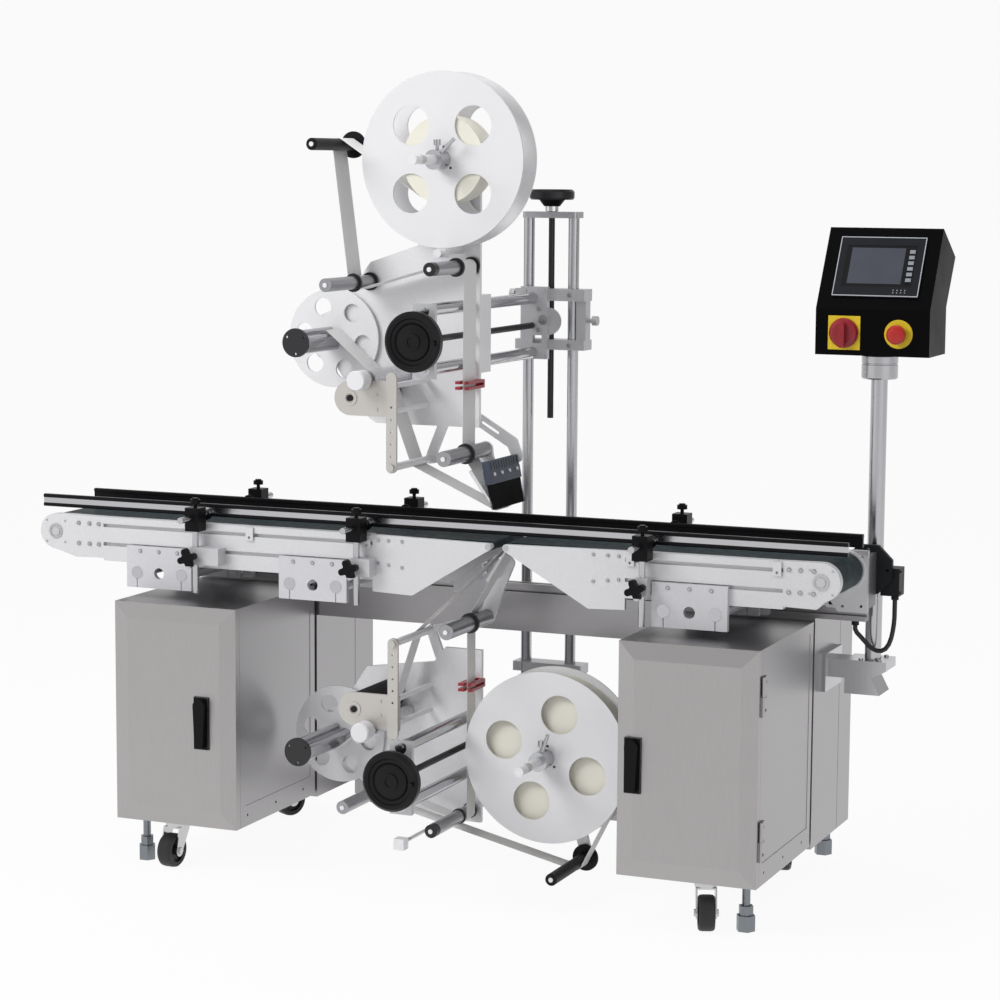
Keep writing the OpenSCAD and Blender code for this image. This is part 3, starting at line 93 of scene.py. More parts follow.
class Shade:
    """One procedural material, built up from a base and layers placed by position."""

    def __init__(self, name, color, metallic, rough):
        self.material = bpy.data.materials.new(name)
        self.material.use_nodes = True
        self.tree = self.material.node_tree
        self.bsdf = self.tree.nodes["Principled BSDF"]
        self.coord = self.tree.nodes.new("ShaderNodeTexCoord")
        self.split = self.tree.nodes.new("ShaderNodeSeparateXYZ")
        self.link(self.coord.outputs["Object"], self.split.inputs[0])
        self.color = color
        self.metallic = metallic
        self.rough = rough
        self.height = None
        self.depth = 0.0

    def link(self, a, b):
        self.tree.links.new(a, b)

    def feed(self, value, socket):
        """Sets a number or a colour on the socket, or links a node's output to it."""
        if isinstance(value, (int, float)):
            socket.default_value = value
        elif isinstance(value, tuple):
            socket.default_value = (*value, 1)
        else:
            self.link(value, socket)

    def math(self, operation, a, b=0.0):
        node = self.tree.nodes.new("ShaderNodeMath")
        node.operation = operation
        self.feed(a, node.inputs[0])
        self.feed(b, node.inputs[1])
        return node.outputs[0]

    def band(self, axis, low, high):
        """1 where the layout value on an axis lies between low and high."""
        value = self.split.outputs["XYZ".index(axis)]
        above = self.math("GREATER_THAN", value, row(axis, low))
        below = self.math("LESS_THAN", value, row(axis, high))
        return self.math("MULTIPLY", above, below)

    def both(self, a, b):
        return self.math("MULTIPLY", a, b)

    def either(self, a, b):
        return self.math("MAXIMUM", a, b)

    def near_line(self, x, z, radius):
        """1 within a radius of a line along Y."""
        dx = self.math("SUBTRACT", self.split.outputs[0], row("X", x))
        dz = self.math("SUBTRACT", self.split.outputs[2], row("Z", z))
        squares = self.math("ADD", self.math("MULTIPLY", dx, dx), self.math("MULTIPLY", dz, dz))
        return self.math("LESS_THAN", self.math("SQRT", squares), radius / 1000)

    def noise(self, scale, stretch):
        mapping = self.tree.nodes.new("ShaderNodeMapping")
        mapping.inputs["Scale"].default_value = stretch
        self.link(self.coord.outputs["Object"], mapping.inputs[0])
        node = self.tree.nodes.new("ShaderNodeTexNoise")
        node.inputs["Scale"].default_value = scale
        node.inputs["Detail"].default_value = NOISE_DETAIL
        self.link(mapping.outputs[0], node.inputs["Vector"])
        return node.outputs["Fac"]

    def mix_color(self, mask, a, b, blend="MIX"):
        node = self.tree.nodes.new("ShaderNodeMix")
        node.data_type = "RGBA"
        node.blend_type = blend
        self.feed(mask, node.inputs[0])
        self.feed(a, node.inputs[COLOR_A])
        self.feed(b, node.inputs[COLOR_B])
        return node.outputs[COLOR_OUT]

    def mix_value(self, mask, a, b):
        node = self.tree.nodes.new("ShaderNodeMix")
        self.feed(mask, node.inputs[0])
        self.feed(a, node.inputs[VALUE_A])
        self.feed(b, node.inputs[VALUE_B])
        return node.outputs[VALUE_OUT]

    def vary(self, scale, stretch=EVEN, shade=0.9, rough=0.0):
        """Breaks up the colour, and the roughness by a little, with noise."""
        spread = self.tree.nodes.new("ShaderNodeMapRange")
        spread.inputs["From Min"].default_value = NOISE_LOW
        spread.inputs["From Max"].default_value = NOISE_HIGH
        self.link(self.noise(scale, stretch), spread.inputs["Value"])
        fac = spread.outputs[0]
        self.color = self.mix_color(fac, self.color, (shade, shade, shade), "MULTIPLY")
        if rough:
            self.rough = self.math("ADD", self.math("MULTIPLY", fac, rough), self.rough)
        return self

    def bump(self, scale, depth, stretch=EVEN):
        self.height = self.noise(scale, stretch)
        self.depth = depth
        return self

    def layer(self, mask, color, metallic, rough):
        self.color = self.mix_color(mask, self.color, color)
        self.metallic = self.mix_value(mask, self.metallic, metallic)
        self.rough = self.mix_value(mask, self.rough, rough)
        return self

    def matt(self, level):
        """Keeps the surface's mirror share low."""
        self.bsdf.inputs["Specular IOR Level"].default_value = level
        return self

    def done(self):
        self.feed(self.color, self.bsdf.inputs["Base Color"])
        self.feed(self.metallic, self.bsdf.inputs["Metallic"])
        self.feed(self.rough, self.bsdf.inputs["Roughness"])
        if self.height is not None:
            node = self.tree.nodes.new("ShaderNodeBump")
            node.inputs["Strength"].default_value = BUMP_STRENGTH
            node.inputs["Distance"].default_value = self.depth
            self.link(self.height, node.inputs["Height"])
            self.link(node.outputs[0], self.bsdf.inputs["Normal"])
        return self.material


# Colours, and finishes of colour, metallic and roughness
STEEL_COLOR = (0.44, 0.43, 0.44)
BRIGHT_COLOR = (0.50, 0.50, 0.52)
RUBBER_COLOR = (0.016, 0.016, 0.018)
DEEP_BLACK = (0.006, 0.006, 0.007)
BRIGHT = (BRIGHT_COLOR, 1.0, 0.18)
POLISHED = (BRIGHT_COLOR, 1.0, 0.2)
ALUMINIUM = ((0.62, 0.62, 0.64), 0.5, 0.36)
CLAMP_ALUMINIUM = ((0.62, 0.62, 0.64), 0.3, 0.4)
CROSS_BARS = ((0.45, 0.45, 0.46), 1.0, 0.35)
GEAR_CASE = ((0.30, 0.30, 0.31), 0.8, 0.4)
CHEEK_STEEL = ((0.58, 0.56, 0.53), 0.45, 0.36)
SENSOR_RED = ((0.36, 0.012, 0.028), 0.0, 0.32)
COLLAR_BLACK = (DEEP_BLACK, 0.0, 0.4)
BLACK = ((0.012, 0.012, 0.014), 0.0, 0.38)
WHITE = ((0.83, 0.83, 0.85), 0.0, 0.32)
CREAM = ((0.86, 0.84, 0.74), 0.0, 0.75)


def brushed(name, color, rough, along):
    """Brushed metal, with its lines along one axis."""
    stretch = tuple(1 if axis == along else 90 for axis in "XYZ")
    shade = Shade(name, color, 1.0, rough)
    shade.vary(22, stretch, 0.93, 0.07)
    shade.vary(1.6, EVEN, 0.95)
    return shade.bump(40, 0.00002, stretch)


def plate(name, color=ALUMINIUM[0], metallic=ALUMINIUM[1], rough=ALUMINIUM[2]):
    """Satin metal with a fine, even grain."""
    shade = Shade(name, color, metallic, rough)
    shade.vary(240, EVEN, 0.95, 0.06)
    shade.vary(5, EVEN, 0.96)
    return shade.bump(900, 0.00002)


def moulded(name, color, rough=0.4, grain=700, shade_depth=0.88):
    """Moulded plastic, paint or rubber."""
    shade = Shade(name, color, 0.0, rough)
    shade.vary(9, EVEN, shade_depth, 0.08)
    return shade.bump(grain, 0.00006)


def dress(material, *nodes):
    for node in nodes:
        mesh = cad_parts[node].data
        mesh.materials.clear()
        mesh.materials.append(material)


# Cabinets, posts and feet
dark_plastic = moulded("black_plastic", DEEP_BLACK).matt(0.12).done()
dress(brushed("brushed_stainless", STEEL_COLOR, 0.34, "X").done(), "cabinet_left", "cabinet_right")
# The rear beams are the cabinets' stainless, painted darker as painted shade from the conveyor above them
dress(brushed("beam_steel_painted_shade", (0.37, 0.36, 0.37), 0.3, "X").done(), "rear_beams")
dress(brushed("brushed_door", (0.46, 0.445, 0.445), 0.36, "Z").done(), "left_door", "right_door")
dress(brushed("polished_bar", BRIGHT_COLOR, 0.2, "Z").done(), "lift_posts", "screen_post")
dress(brushed("foot_steel", (0.25, 0.27, 0.29), 0.34, "Z").done(), "levelling_feet")
dress(dark_plastic, "left_latch", "right_latch")
dress(plate("satin_plate").done(), "tail_pulley", "drive_pulley")
dress(brushed("caster_zinc", (0.62, 0.62, 0.63), 0.24, "Z").done(),
      "front_left_fork", "front_right_fork", "rear_left_fork", "rear_right_fork")
dress(moulded("caster_rubber", RUBBER_COLOR, 0.5).done(),
      "front_left_wheel", "front_right_wheel", "rear_left_wheel", "rear_right_wheel")

# Carriages, with bright slide shafts
SLIDE_SHAFTS = {"upper": ((747, 1254), (747, 1130)), "lower": ((754, 358), (754, 235))}
SLIDE_RADIUS = 13.3
for head, shafts in SLIDE_SHAFTS.items():
    carriage = plate(head + "_carriage_plate")
    for x, z in shafts:
        carriage.layer(carriage.near_line(x, z, SLIDE_RADIUS), *BRIGHT)
    dress(carriage.done(), head + "_carriage")

# Mounting plates: the faces of the front shafts, and the shafts behind the conveyor
MOUNT_SHAFT_FACES = (97, 97.9)
MOUNT_REAR_SHAFTS = (325, 379.5)
mount = plate("mounting_plate", (0.70, 0.70, 0.73), 0.25, 0.38)
mount.layer(mount.band("Y", *MOUNT_SHAFT_FACES), *BRIGHT)
mount.layer(mount.band("Y", *MOUNT_REAR_SHAFTS), *POLISHED)
dress(mount.done(), "conveyor_mounts")

# Conveyor sides: the shaft ends in front, and the bars between the plates
SIDE_SHAFT_ENDS = (107, 109.9)
SIDE_CROSS_BARS = (131, 293)
side = plate("conveyor_side", (0.76, 0.76, 0.78), 0.3, 0.36)
side.layer(side.band("Y", *SIDE_SHAFT_ENDS), *POLISHED)
side.layer(side.band("Y", *SIDE_CROSS_BARS), *CROSS_BARS)
dress(side.done(), "infeed_frame", "outfeed_frame")

belt = Shade("belt_fabric", (0.020, 0.036, 0.042), 0.0, 0.5).matt(0.15)
belt.vary(60, EVEN, 0.8, 0.12).vary(900, EVEN, 0.7).bump(1400, 0.0001)
dress(belt.done(), "infeed_belt", "outfeed_belt")

# Rail brackets: upright rods below and above a clamp
LOWER_ROD = (611, 675.5)
CLAMP_HEIGHT = (675.5, 714.5)
CLAMP_DEPTH = (74.8, 400)
UPPER_ROD = (714.5, 749.5)
brackets = moulded("bracket_black", (0.005, 0.005, 0.006), 0.34).matt(0.12)
brackets.layer(brackets.band("Z", *LOWER_ROD), *POLISHED)
brackets.layer(brackets.band("Z", *UPPER_ROD), *POLISHED)
clamps = brackets.both(brackets.band("Z", *CLAMP_HEIGHT), brackets.band("Y", *CLAMP_DEPTH))
brackets.layer(clamps, *CLAMP_ALUMINIUM)
dress(brackets.done(), "guide_brackets")

# Guide rails: cross rods at both ends, and a bright middle strip on the front one
FRONT_RODS = (0, 130)
REAR_RODS = (298, 420)
INNER_RODS = (151.5, 276.5)
MIDDLE_STRIP = (784.2, 795.8)
for name in ("front", "rear"):
    rail = moulded(name + "_rail_strip", DEEP_BLACK, 0.3).matt(0.12)
    steel = rail.either(rail.band("Y", *FRONT_RODS), rail.band("Y", *REAR_RODS))
    if name == "front":
        steel = rail.either(rail.band("Z", *MIDDLE_STRIP), steel)
    rail.layer(steel, *POLISHED)
    rail.layer(rail.band("Y", *INNER_RODS), *POLISHED)
    dress(rail.done(), name + "_guide_rail")

# Motor: its flange, and the gear case in front of the black motor
MOTOR_FLANGE = (313, 324.1)
GEAR_DEPTH = (324.1, 391.9)
motor = moulded("motor_black", (0.012, 0.013, 0.015), 0.42).matt(0.2)
motor.layer(motor.band("Y", *MOTOR_FLANGE), *ALUMINIUM)
motor.layer(motor.band("Y", *GEAR_DEPTH), *GEAR_CASE)
dress(motor.done(), "drive_motor")

# Screen and controls
dress(moulded("housing_black", (0.002, 0.002, 0.0025), 0.34, 1200).matt(0.05).done(), "screen_box")
dress(moulded("bezel_black", (0.010, 0.011, 0.014), 0.34).matt(0.2).done(), "touch_screen")
dress(moulded("switch_red", (0.30, 0.012, 0.022), 0.3).done(), "rotary_switch")
dress(moulded("button_red", (0.50, 0.02, 0.015), 0.28).done(), "stop_button")

# Screws with handwheels
dress(moulded("wheel_black", DEEP_BLACK, 0.3).matt(0.2).done(),
      "upper_cross_screw", "lower_cross_screw")
dress(brushed("screw_dark", (0.045, 0.045, 0.048), 0.34, "Z").done(), "lift_screw")

# Reels: the label roll behind the front disc, the peg in front of it, and the rewind drums
REELS = {"upper": (716, 1564), "lower": (963, 298)}
ROLL_DEPTH = (167.2, 235.8)
PEG_DEPTH = (117, 162.8)
DRUM_DEPTH = (0, 239.8)
DRUM_RING = {"upper": (0, 62), "lower": (0, 38)}
for head in REELS:
    reel = moulded(head + "_reel_plastic", WHITE[0], 0.34, 900, 0.975)
    reel.layer(reel.band("Y", *ROLL_DEPTH), *CREAM)
    reel.layer(reel.band("Y", *PEG_DEPTH), *BRIGHT)
    dress(reel.done(), head + "_supply_reel")
    rewind = moulded(head + "_rewind_plastic", WHITE[0], 0.34, 900, 0.975)
    rewind.layer(rewind.band("Y", *DRUM_DEPTH), *BRIGHT)
    rewind.layer(rewind.band("Y", *DRUM_RING[head]), *BLACK)
    dress(rewind.done(), head + "_rewind_reel")
dress(moulded("web_film", (0.86, 0.86, 0.86), 0.42, 200, 0.96).done(), "upper_web", "lower_web")

# Head plates: the front cheek, and the label sensor's fork with its middle, front face and foot
CHEEK_DEPTH = (45, 66)
SENSORS = {"upper": (765, 162.8, 1078), "lower": (770, 173.8, 424)}
SENSOR_HALF = 16.2
SENSOR_HEIGHT = (-0.2, 18.2)
SENSOR_BACK = 249.4
for head, (x, y, z) in SENSORS.items():
    metal = plate(head + "_head_plate", (0.90, 0.90, 0.92), 0.25, 0.38)
    metal.layer(metal.band("Y", *CHEEK_DEPTH), *CHEEK_STEEL)
    fork = metal.both(metal.band("X", x - SENSOR_HALF, x + SENSOR_HALF),
                      metal.band("Z", z + SENSOR_HEIGHT[0], z + SENSOR_HEIGHT[1]))
    metal.layer(metal.both(fork, metal.band("Y", y, SENSOR_BACK)), *SENSOR_RED)
    dress(metal.done(), head + "_head_plate")

# Rollers: drive, pinch with its knob, and satin tubes with black collars
PINCH_KNOB = (5, 49)
COLLARS = {"upper": ((158, 165), (240, 247)), "lower": ((170, 177), (230, 237))}
PEEL_RING = {"upper": (142, 149), "lower": (154, 161)}
FRONT_CAP = (22, 44)
COLLAR_FACE = 0.3
dress(moulded("drive_rubber", (0.02, 0.02, 0.022), 0.62, 500).matt(0.2).done(),
      "upper_drive_roller", "lower_drive_roller")
pinch = plate("pinch_roller", (0.7, 0.7, 0.72), 0.9, 0.26)
pinch.layer(pinch.band("Y", *PINCH_KNOB), *WHITE)
dress(pinch.done(), "upper_pinch_roller", "lower_pinch_roller")
dress(moulded("dancer_black", DEEP_BLACK, 0.42).matt(0.2).done(), "upper_dancer", "lower_dancer")


def roller(name, *collars):
    """A satin tube, black where its collars stand, their end faces included."""
    shade = plate(name + "_tube", (0.38, 0.38, 0.40), 0.9, 0.3)
    for low, high in collars:
        shade.layer(shade.band("Y", low - COLLAR_FACE, high + COLLAR_FACE), *COLLAR_BLACK)
    dress(shade.done(), name)


for head, collars in COLLARS.items():
    roller(head + "_idler_left", *collars)
    roller(head + "_idler_right", FRONT_CAP, *collars)
    roller(head + "_peel_roller", PEEL_RING[head])

# Materials of the scene's own pieces
lead_rubber = moulded("lead_rubber", RUBBER_COLOR, 0.5, 300).done()
yellow = moulded("legend_yellow", (0.80, 0.58, 0.02), 0.4).done()
glass_dark = moulded("screen_glass", (0.060, 0.064, 0.088), 0.16, 1500).matt(0.3).done()
black_panel = moulded("panel_black", (0.005, 0.005, 0.006), 0.3).matt(0.2).done()
key_gray = moulded("key_gray", (0.30, 0.31, 0.36), 0.4).done()
lamp_gray = moulded("lamp_dots", (0.35, 0.36, 0.38), 0.3).done()
rim_light = plate("rim_light", (0.55, 0.57, 0.62), 0.6, 0.3).done()
screw_steel = plate("screw_steel", (0.42, 0.42, 0.44), 1.0, 0.28).done()
screw_black = moulded("screw_black", BLACK[0], 0.4).done()
brush_slate = moulded("brush_holder", (0.048, 0.061, 0.093), 0.42).done()
bristle_black = moulded("bristle_black", (0.004, 0.004, 0.005), 0.5).matt(0.2).done()
white_plastic = moulded("white_plastic", WHITE[0], 0.4, 900, 0.97).done()
chrome = plate("chrome", (0.72, 0.72, 0.74), 1.0, 0.14).done()

# Mesh helpers
SMOOTH_ANGLE = 35
LATHE_STEPS = 40


def settle(obj, body):
    """Links a piece, and says which body carries it."""
    bpy.context.collection.objects.link(obj)
    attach(obj, body)
    return obj


def piece(name, bm, material, body):
    bmesh.ops.recalc_face_normals(bm, faces=bm.faces)
    mesh = bpy.data.meshes.new(name)
    bm.to_mesh(mesh)
    bm.free()
    mesh.materials.append(material)
    return settle(bpy.data.objects.new(name, mesh), body)


def smooth(obj):
    for face in obj.data.polygons:
        face.use_smooth = True
    obj.data.set_sharp_from_angle(angle=math.radians(SMOOTH_ANGLE))
    return obj


def merge(bm, part, matrix):
    """Puts a finished part into a piece, at its place."""
    bmesh.ops.transform(part, matrix=matrix, verts=part.verts)
    mesh = bpy.data.meshes.new("part")
    part.to_mesh(mesh)
    part.free()
    bm.from_mesh(mesh)
    bpy.data.meshes.remove(mesh)


def block(bm, low, high, bevel, matrix=Matrix.Identity(4)):
    """A box between two corners in millimetres, with rounded edges."""
    a = Vector(low)
    b = Vector(high)
    part = bmesh.new()
    bmesh.ops.create_cube(part, size=1)
    bmesh.ops.scale(part, vec=(b - a) / 1000, verts=part.verts)
    bmesh.ops.translate(part, vec=(a + b) / 2000, verts=part.verts)
    bmesh.ops.bevel(part, geom=part.edges[:], offset=bevel / 1000, segments=2,
                    affect="EDGES", profile=0.5)
    merge(bm, part, matrix)


def circle(part, count, r, h):
    """Corners of a circle about Z, with its radius and height in millimetres."""
    corners = []
    for k in range(count):
        angle = 2 * math.pi * k / count
        corners.append(part.verts.new((r / 1000 * math.cos(angle), r / 1000 * math.sin(angle), h / 1000)))
    return corners


def wall(part, a, b):
    """Faces between two circles with as many corners."""
    for k in range(len(a)):
        n = (k + 1) % len(a)
        part.faces.new((a[k], a[n], b[n], b[k]))


def lathe(bm, profile, matrix, steps=LATHE_STEPS):
    """Profile of (radius, height) in millimetres, turned about the matrix's Z axis."""
    part = bmesh.new()
    rings = []
    for r, h in profile:
        rings.append(circle(part, steps if r else 1, r, h))
    for a, b in zip(rings, rings[1:]):
        if len(a) == 1:
            for k in range(steps):
                part.faces.new((a[0], b[k], b[(k + 1) % steps]))
        else:
            wall(part, a, b)
    merge(bm, part, matrix)


def facing_front(x, y, z):
    """Z axis towards the operator."""
    return Matrix.Translation(at(x, y, z)) @ turned(90, "X")


def facing_side(x, y, z):
    """Z axis towards the outfeed end."""
    return Matrix.Translation(at(x, y, z)) @ turned(90, "Y")


# Cylinder-head screws: shares of the head's radius, and corners of its rim
SOCKET_R, RIM_R, WALL_R = 0.55, 0.86, 1.02
TOP_H, WALL_H, SOCKET_H = 0.68, 0.5, 0.25
SOCKET_SIDES = 6
RIM_SIDES = 18


def socket_screws(name, places, r, body, material=screw_steel):
    """Screws with hexagon sockets, standing on a face."""
    bm = bmesh.new()
    share = RIM_SIDES // SOCKET_SIDES
    for place in places:
        part = bmesh.new()
        socket = circle(part, SOCKET_SIDES, SOCKET_R * r, TOP_H * r)
        floor = circle(part, SOCKET_SIDES, SOCKET_R * r, SOCKET_H * r)
        part.faces.new(floor)
        wall(part, socket, floor)
        rim = circle(part, RIM_SIDES, RIM_R * r, TOP_H * r)
        for k in range(SOCKET_SIDES):
            for j in range(share):
                part.faces.new((socket[k], rim[share * k + j], rim[(share * k + j + 1) % RIM_SIDES]))
            corner = rim[(share * k + share) % RIM_SIDES]
            part.faces.new((socket[k], corner, socket[(k + 1) % SOCKET_SIDES]))
        edge = circle(part, RIM_SIDES, WALL_R * r, WALL_H * r)
        wall(part, rim, edge)
        wall(part, edge, circle(part, RIM_SIDES, WALL_R * r, 0))
        merge(bm, part, place)
    return smooth(piece(name, bm, material, body))


# The motor's lead
LEAD_DIAMETER = 0.010
CABLE = [
    (1648, 430, 648), (1648, 430, 638), (1648, 430, 625), (1648, 430, 610), (1647, 430, 595),
    (1645, 430, 580), (1642, 430, 565), (1637, 430, 551), (1630, 430, 541), (1621, 430, 536),
    (1611, 430, 536), (1602, 429, 540), (1593, 428, 547), (1585, 426, 556), (1577, 424, 565),
    (1570, 421, 573), (1566, 420, 581), (1566, 420, 590)
]


def tube(name, points, r, material, body):
    curve = bpy.data.curves.new(name, "CURVE")
    curve.dimensions = "3D"
    curve.bevel_depth = r
    curve.bevel_resolution = 5
    curve.use_fill_caps = True
    spline = curve.splines.new("POLY")
    spline.points.add(len(points) - 1)
    for target, point in zip(spline.points, points):
        target.co = (*point, 1)
    curve.materials.append(material)
    return settle(bpy.data.objects.new(name, curve), body)


route = [at(*p) for p in CABLE]
lead = tube("motor_lead", route, LEAD_DIAMETER / 2, lead_rubber, "frame")
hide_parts("motor_cable")

# Screen details on the sloping face: its foot, its rise and run, and the bezel that lies on it
SCREEN_FOOT = (1593, 400, 1260)
SLOPE_RISE, SLOPE_RUN = 167, 102
BEZEL_W, BEZEL_H, BEZEL_LOW = 184, 142, 28.5
RIM = 0.016
RIM_SIDE = 0.012
KEY_STEP = 0.095
LAMP_STEP = 0.045
slope = Matrix.Translation(at(*SCREEN_FOOT)) @ Matrix.Rotation(math.atan2(SLOPE_RISE, SLOPE_RUN), 4, "X")


def on_bezel(name, material, spans, heights, bevel):
    """Plates in fractions of the bezel, from its upper left corner, with heights in millimetres."""
    bm = bmesh.new()
    for u0, u1, v0, v1 in spans:
        x0 = -BEZEL_W / 2 + u0 * BEZEL_W
        x1 = -BEZEL_W / 2 + u1 * BEZEL_W
        y0 = BEZEL_LOW + (1 - v1) * BEZEL_H
        y1 = BEZEL_LOW + (1 - v0) * BEZEL_H
        block(bm, (x0, y0, heights[0]), (x1, y1, heights[1]), bevel, slope)
    piece(name, bm, material, "screen")


on_bezel("screen_frame", black_panel, [(0.085, 0.905, 0.145, 0.84)], (4.2, 5.0), 0.3)
on_bezel("screen_glass", glass_dark, [(0.15, 0.775, 0.185, 0.79)], (4.9, 5.3), 0.1)
keys = [(0.825, 0.89, 0.215 + k * KEY_STEP, 0.275 + k * KEY_STEP) for k in range(6)]
on_bezel("screen_keys", key_gray, keys, (4.9, 6.0), 0.4)
lamps = [(0.70 + k * LAMP_STEP, 0.712 + k * LAMP_STEP, v, v + 0.018)
         for k in range(4) for v in (0.885, 0.925)]
on_bezel("screen_lamps", lamp_gray, lamps, (5.4, 5.8), 0.1)
rim_bars = [
    (0, 1, 0, RIM),
    (0, 1, 1 - RIM, 1),
    (0, RIM_SIDE, RIM, 1 - RIM),
    (1 - RIM_SIDE, 1, RIM, 1 - RIM)
]
on_bezel("screen_rim", rim_light, rim_bars, (3.4, 5.9), 0.6)

# Yellow plates under the switch and the stop button
SWITCH_PLATE = ((1499, 396.9, 1174.5), (1568, 399.5, 1245.5))
STOP_BUTTON = (1649.5, 400, 1210)
BUTTON_RING = [(15.5, 0), (30, 0), (30, 2.2), (29.2, 2.8), (15.5, 2.8)]
bm = bmesh.new()
block(bm, at(*SWITCH_PLATE[0]) * 1000, at(*SWITCH_PLATE[1]) * 1000, 0.8)
piece("switch_plate", bm, yellow, "screen")
bm = bmesh.new()
lathe(bm, BUTTON_RING, facing_front(*STOP_BUTTON))
smooth(piece("button_ring", bm, yellow, "screen"))

# Latches: black surround on the door and the lock's bright disc
LATCHES = {"left": 220, "right": 1220}
SURROUND_HALF = 18.6
SURROUND_DEPTH = (-4.25, 0.6)
SURROUND_HEIGHT = (281.4, 398.6)
LOCK_Y, LOCK_Z = -4.2, 291
LOCK_DISC = [(0, 1.2), (5.4, 1.2), (6, 0.6), (6, 0)]
for name, x in LATCHES.items():
    low = at(x - SURROUND_HALF, SURROUND_DEPTH[0], SURROUND_HEIGHT[0])
    high = at(x + SURROUND_HALF, SURROUND_DEPTH[1], SURROUND_HEIGHT[1])
    bm = bmesh.new()
    block(bm, low * 1000, high * 1000, 1.5)
    piece(name + "_latch_plate", bm, dark_plastic, name + "_door")
    bm = bmesh.new()
    lathe(bm, LOCK_DISC, facing_front(x, LOCK_Y, LOCK_Z))
    smooth(piece(name + "_lock_disc", bm, chrome, name + "_door"))

# Screw heads' radii
END_SCREW = 4.6
NOSE_SCREW = 3.6
MOUNT_SCREW = 4.1
HINGE_SCREW = 3.4
CARRIAGE_SCREW = 5
REEL_SCREW = 2.6

# Screws on the conveyor's end plates, nose plates and mounting plates
SIDE_FACE = 109.9
MOUNT_FACE = 97.9
MOUNT_SCREWS_Z = 695
END_SCREWS_Z = (701, 747)
NOSE_LOW_Z, NOSE_HIGH_Z = 704, 752
NOSE_SLOPE = 0.12
spots = []
for profile_x, away in ((-89, -1), (1498, 1)):
    spots += [facing_front(profile_x + away * dx, SIDE_FACE, z) for dx in (12, 36, 64) for z in END_SCREWS_Z]
socket_screws("end_plate_screws", spots, END_SCREW, "frame")
spots = []
for joint_x, away in ((580, 1), (1158, -1)):
    for dx in (14, 38, 70):
        spots.append(facing_front(joint_x + away * dx, SIDE_FACE, NOSE_LOW_Z - NOSE_SLOPE * dx))
        spots.append(facing_front(joint_x + away * dx, SIDE_FACE, NOSE_HIGH_Z))
socket_screws("nose_plate_screws", spots, NOSE_SCREW, "frame")
spots = [facing_front(x + dx, MOUNT_FACE, MOUNT_SCREWS_Z) for x in (60, 441.5, 1303) for dx in (-47, 0, 47)]
socket_screws("mount_screws", spots, MOUNT_SCREW, "frame")

# Screws on the right cabinet's hinge leaves
HINGE_FACE = 1488.4
LEAF_Y = 36.5
spots = [facing_side(HINGE_FACE, LEAF_Y, z + dz) for z in (160, 458) for dz in (12, 41, 70)]
socket_screws("hinge_screws", spots, HINGE_SCREW, "frame")

# Screws and the lock on the upper carriage
CARRIAGE_FACE = 600
POST_BAR_FACE = 615
LOCK_HEAD = [(0, 3.5), (5.5, 3.5), (6, 3), (10.4, 3), (11, 2.4), (11, 0)]
spots = [facing_front(764, CARRIAGE_FACE, z) for z in (1230, 1182)]
spots += [facing_front(832, POST_BAR_FACE, z) for z in (1262, 1148)]
socket_screws("carriage_screws", spots, CARRIAGE_SCREW, "upper_carriage")
bm = bmesh.new()
lathe(bm, LOCK_HEAD, facing_front(774, CARRIAGE_FACE, 1206))
smooth(piece("carriage_lock", bm, screw_steel, "upper_carriage"))

# Screws round the supply reels' hubs
REEL_FACE = 163
REEL_SCREWS_R = 27
REEL_SCREWS_AT = (80, 200, 320)
for head, (x, z) in REELS.items():
    spots = []
    for degrees in REEL_SCREWS_AT:
        angle = math.radians(degrees)
        spots.append(facing_front(x + REEL_SCREWS_R * math.cos(angle), REEL_FACE,
                                  z + REEL_SCREWS_R * math.sin(angle)))
    socket_screws(head + "_reel_screws", spots, REEL_SCREW, head + "_supply_reel",
                  screw_black)

# Cone and sleeve under the lift handwheel
LIFT_WHEEL_FOOT = (778, 640, 1449)
WHEEL_CONE = [(12.2, 12), (18, 12), (29, 26), (29, 27), (12.2, 27)]
WHEEL_SLEEVE = [(11.2, 1), (15, 1), (15, 12), (11.2, 12)]
for name, profile, material in (("cone", WHEEL_CONE, dark_plastic), ("sleeve", WHEEL_SLEEVE, chrome)):
    bm = bmesh.new()
    lathe(bm, profile, Matrix.Translation(at(*LIFT_WHEEL_FOOT)))
    smooth(piece("wheel_" + name, bm, material, "lift_screw"))

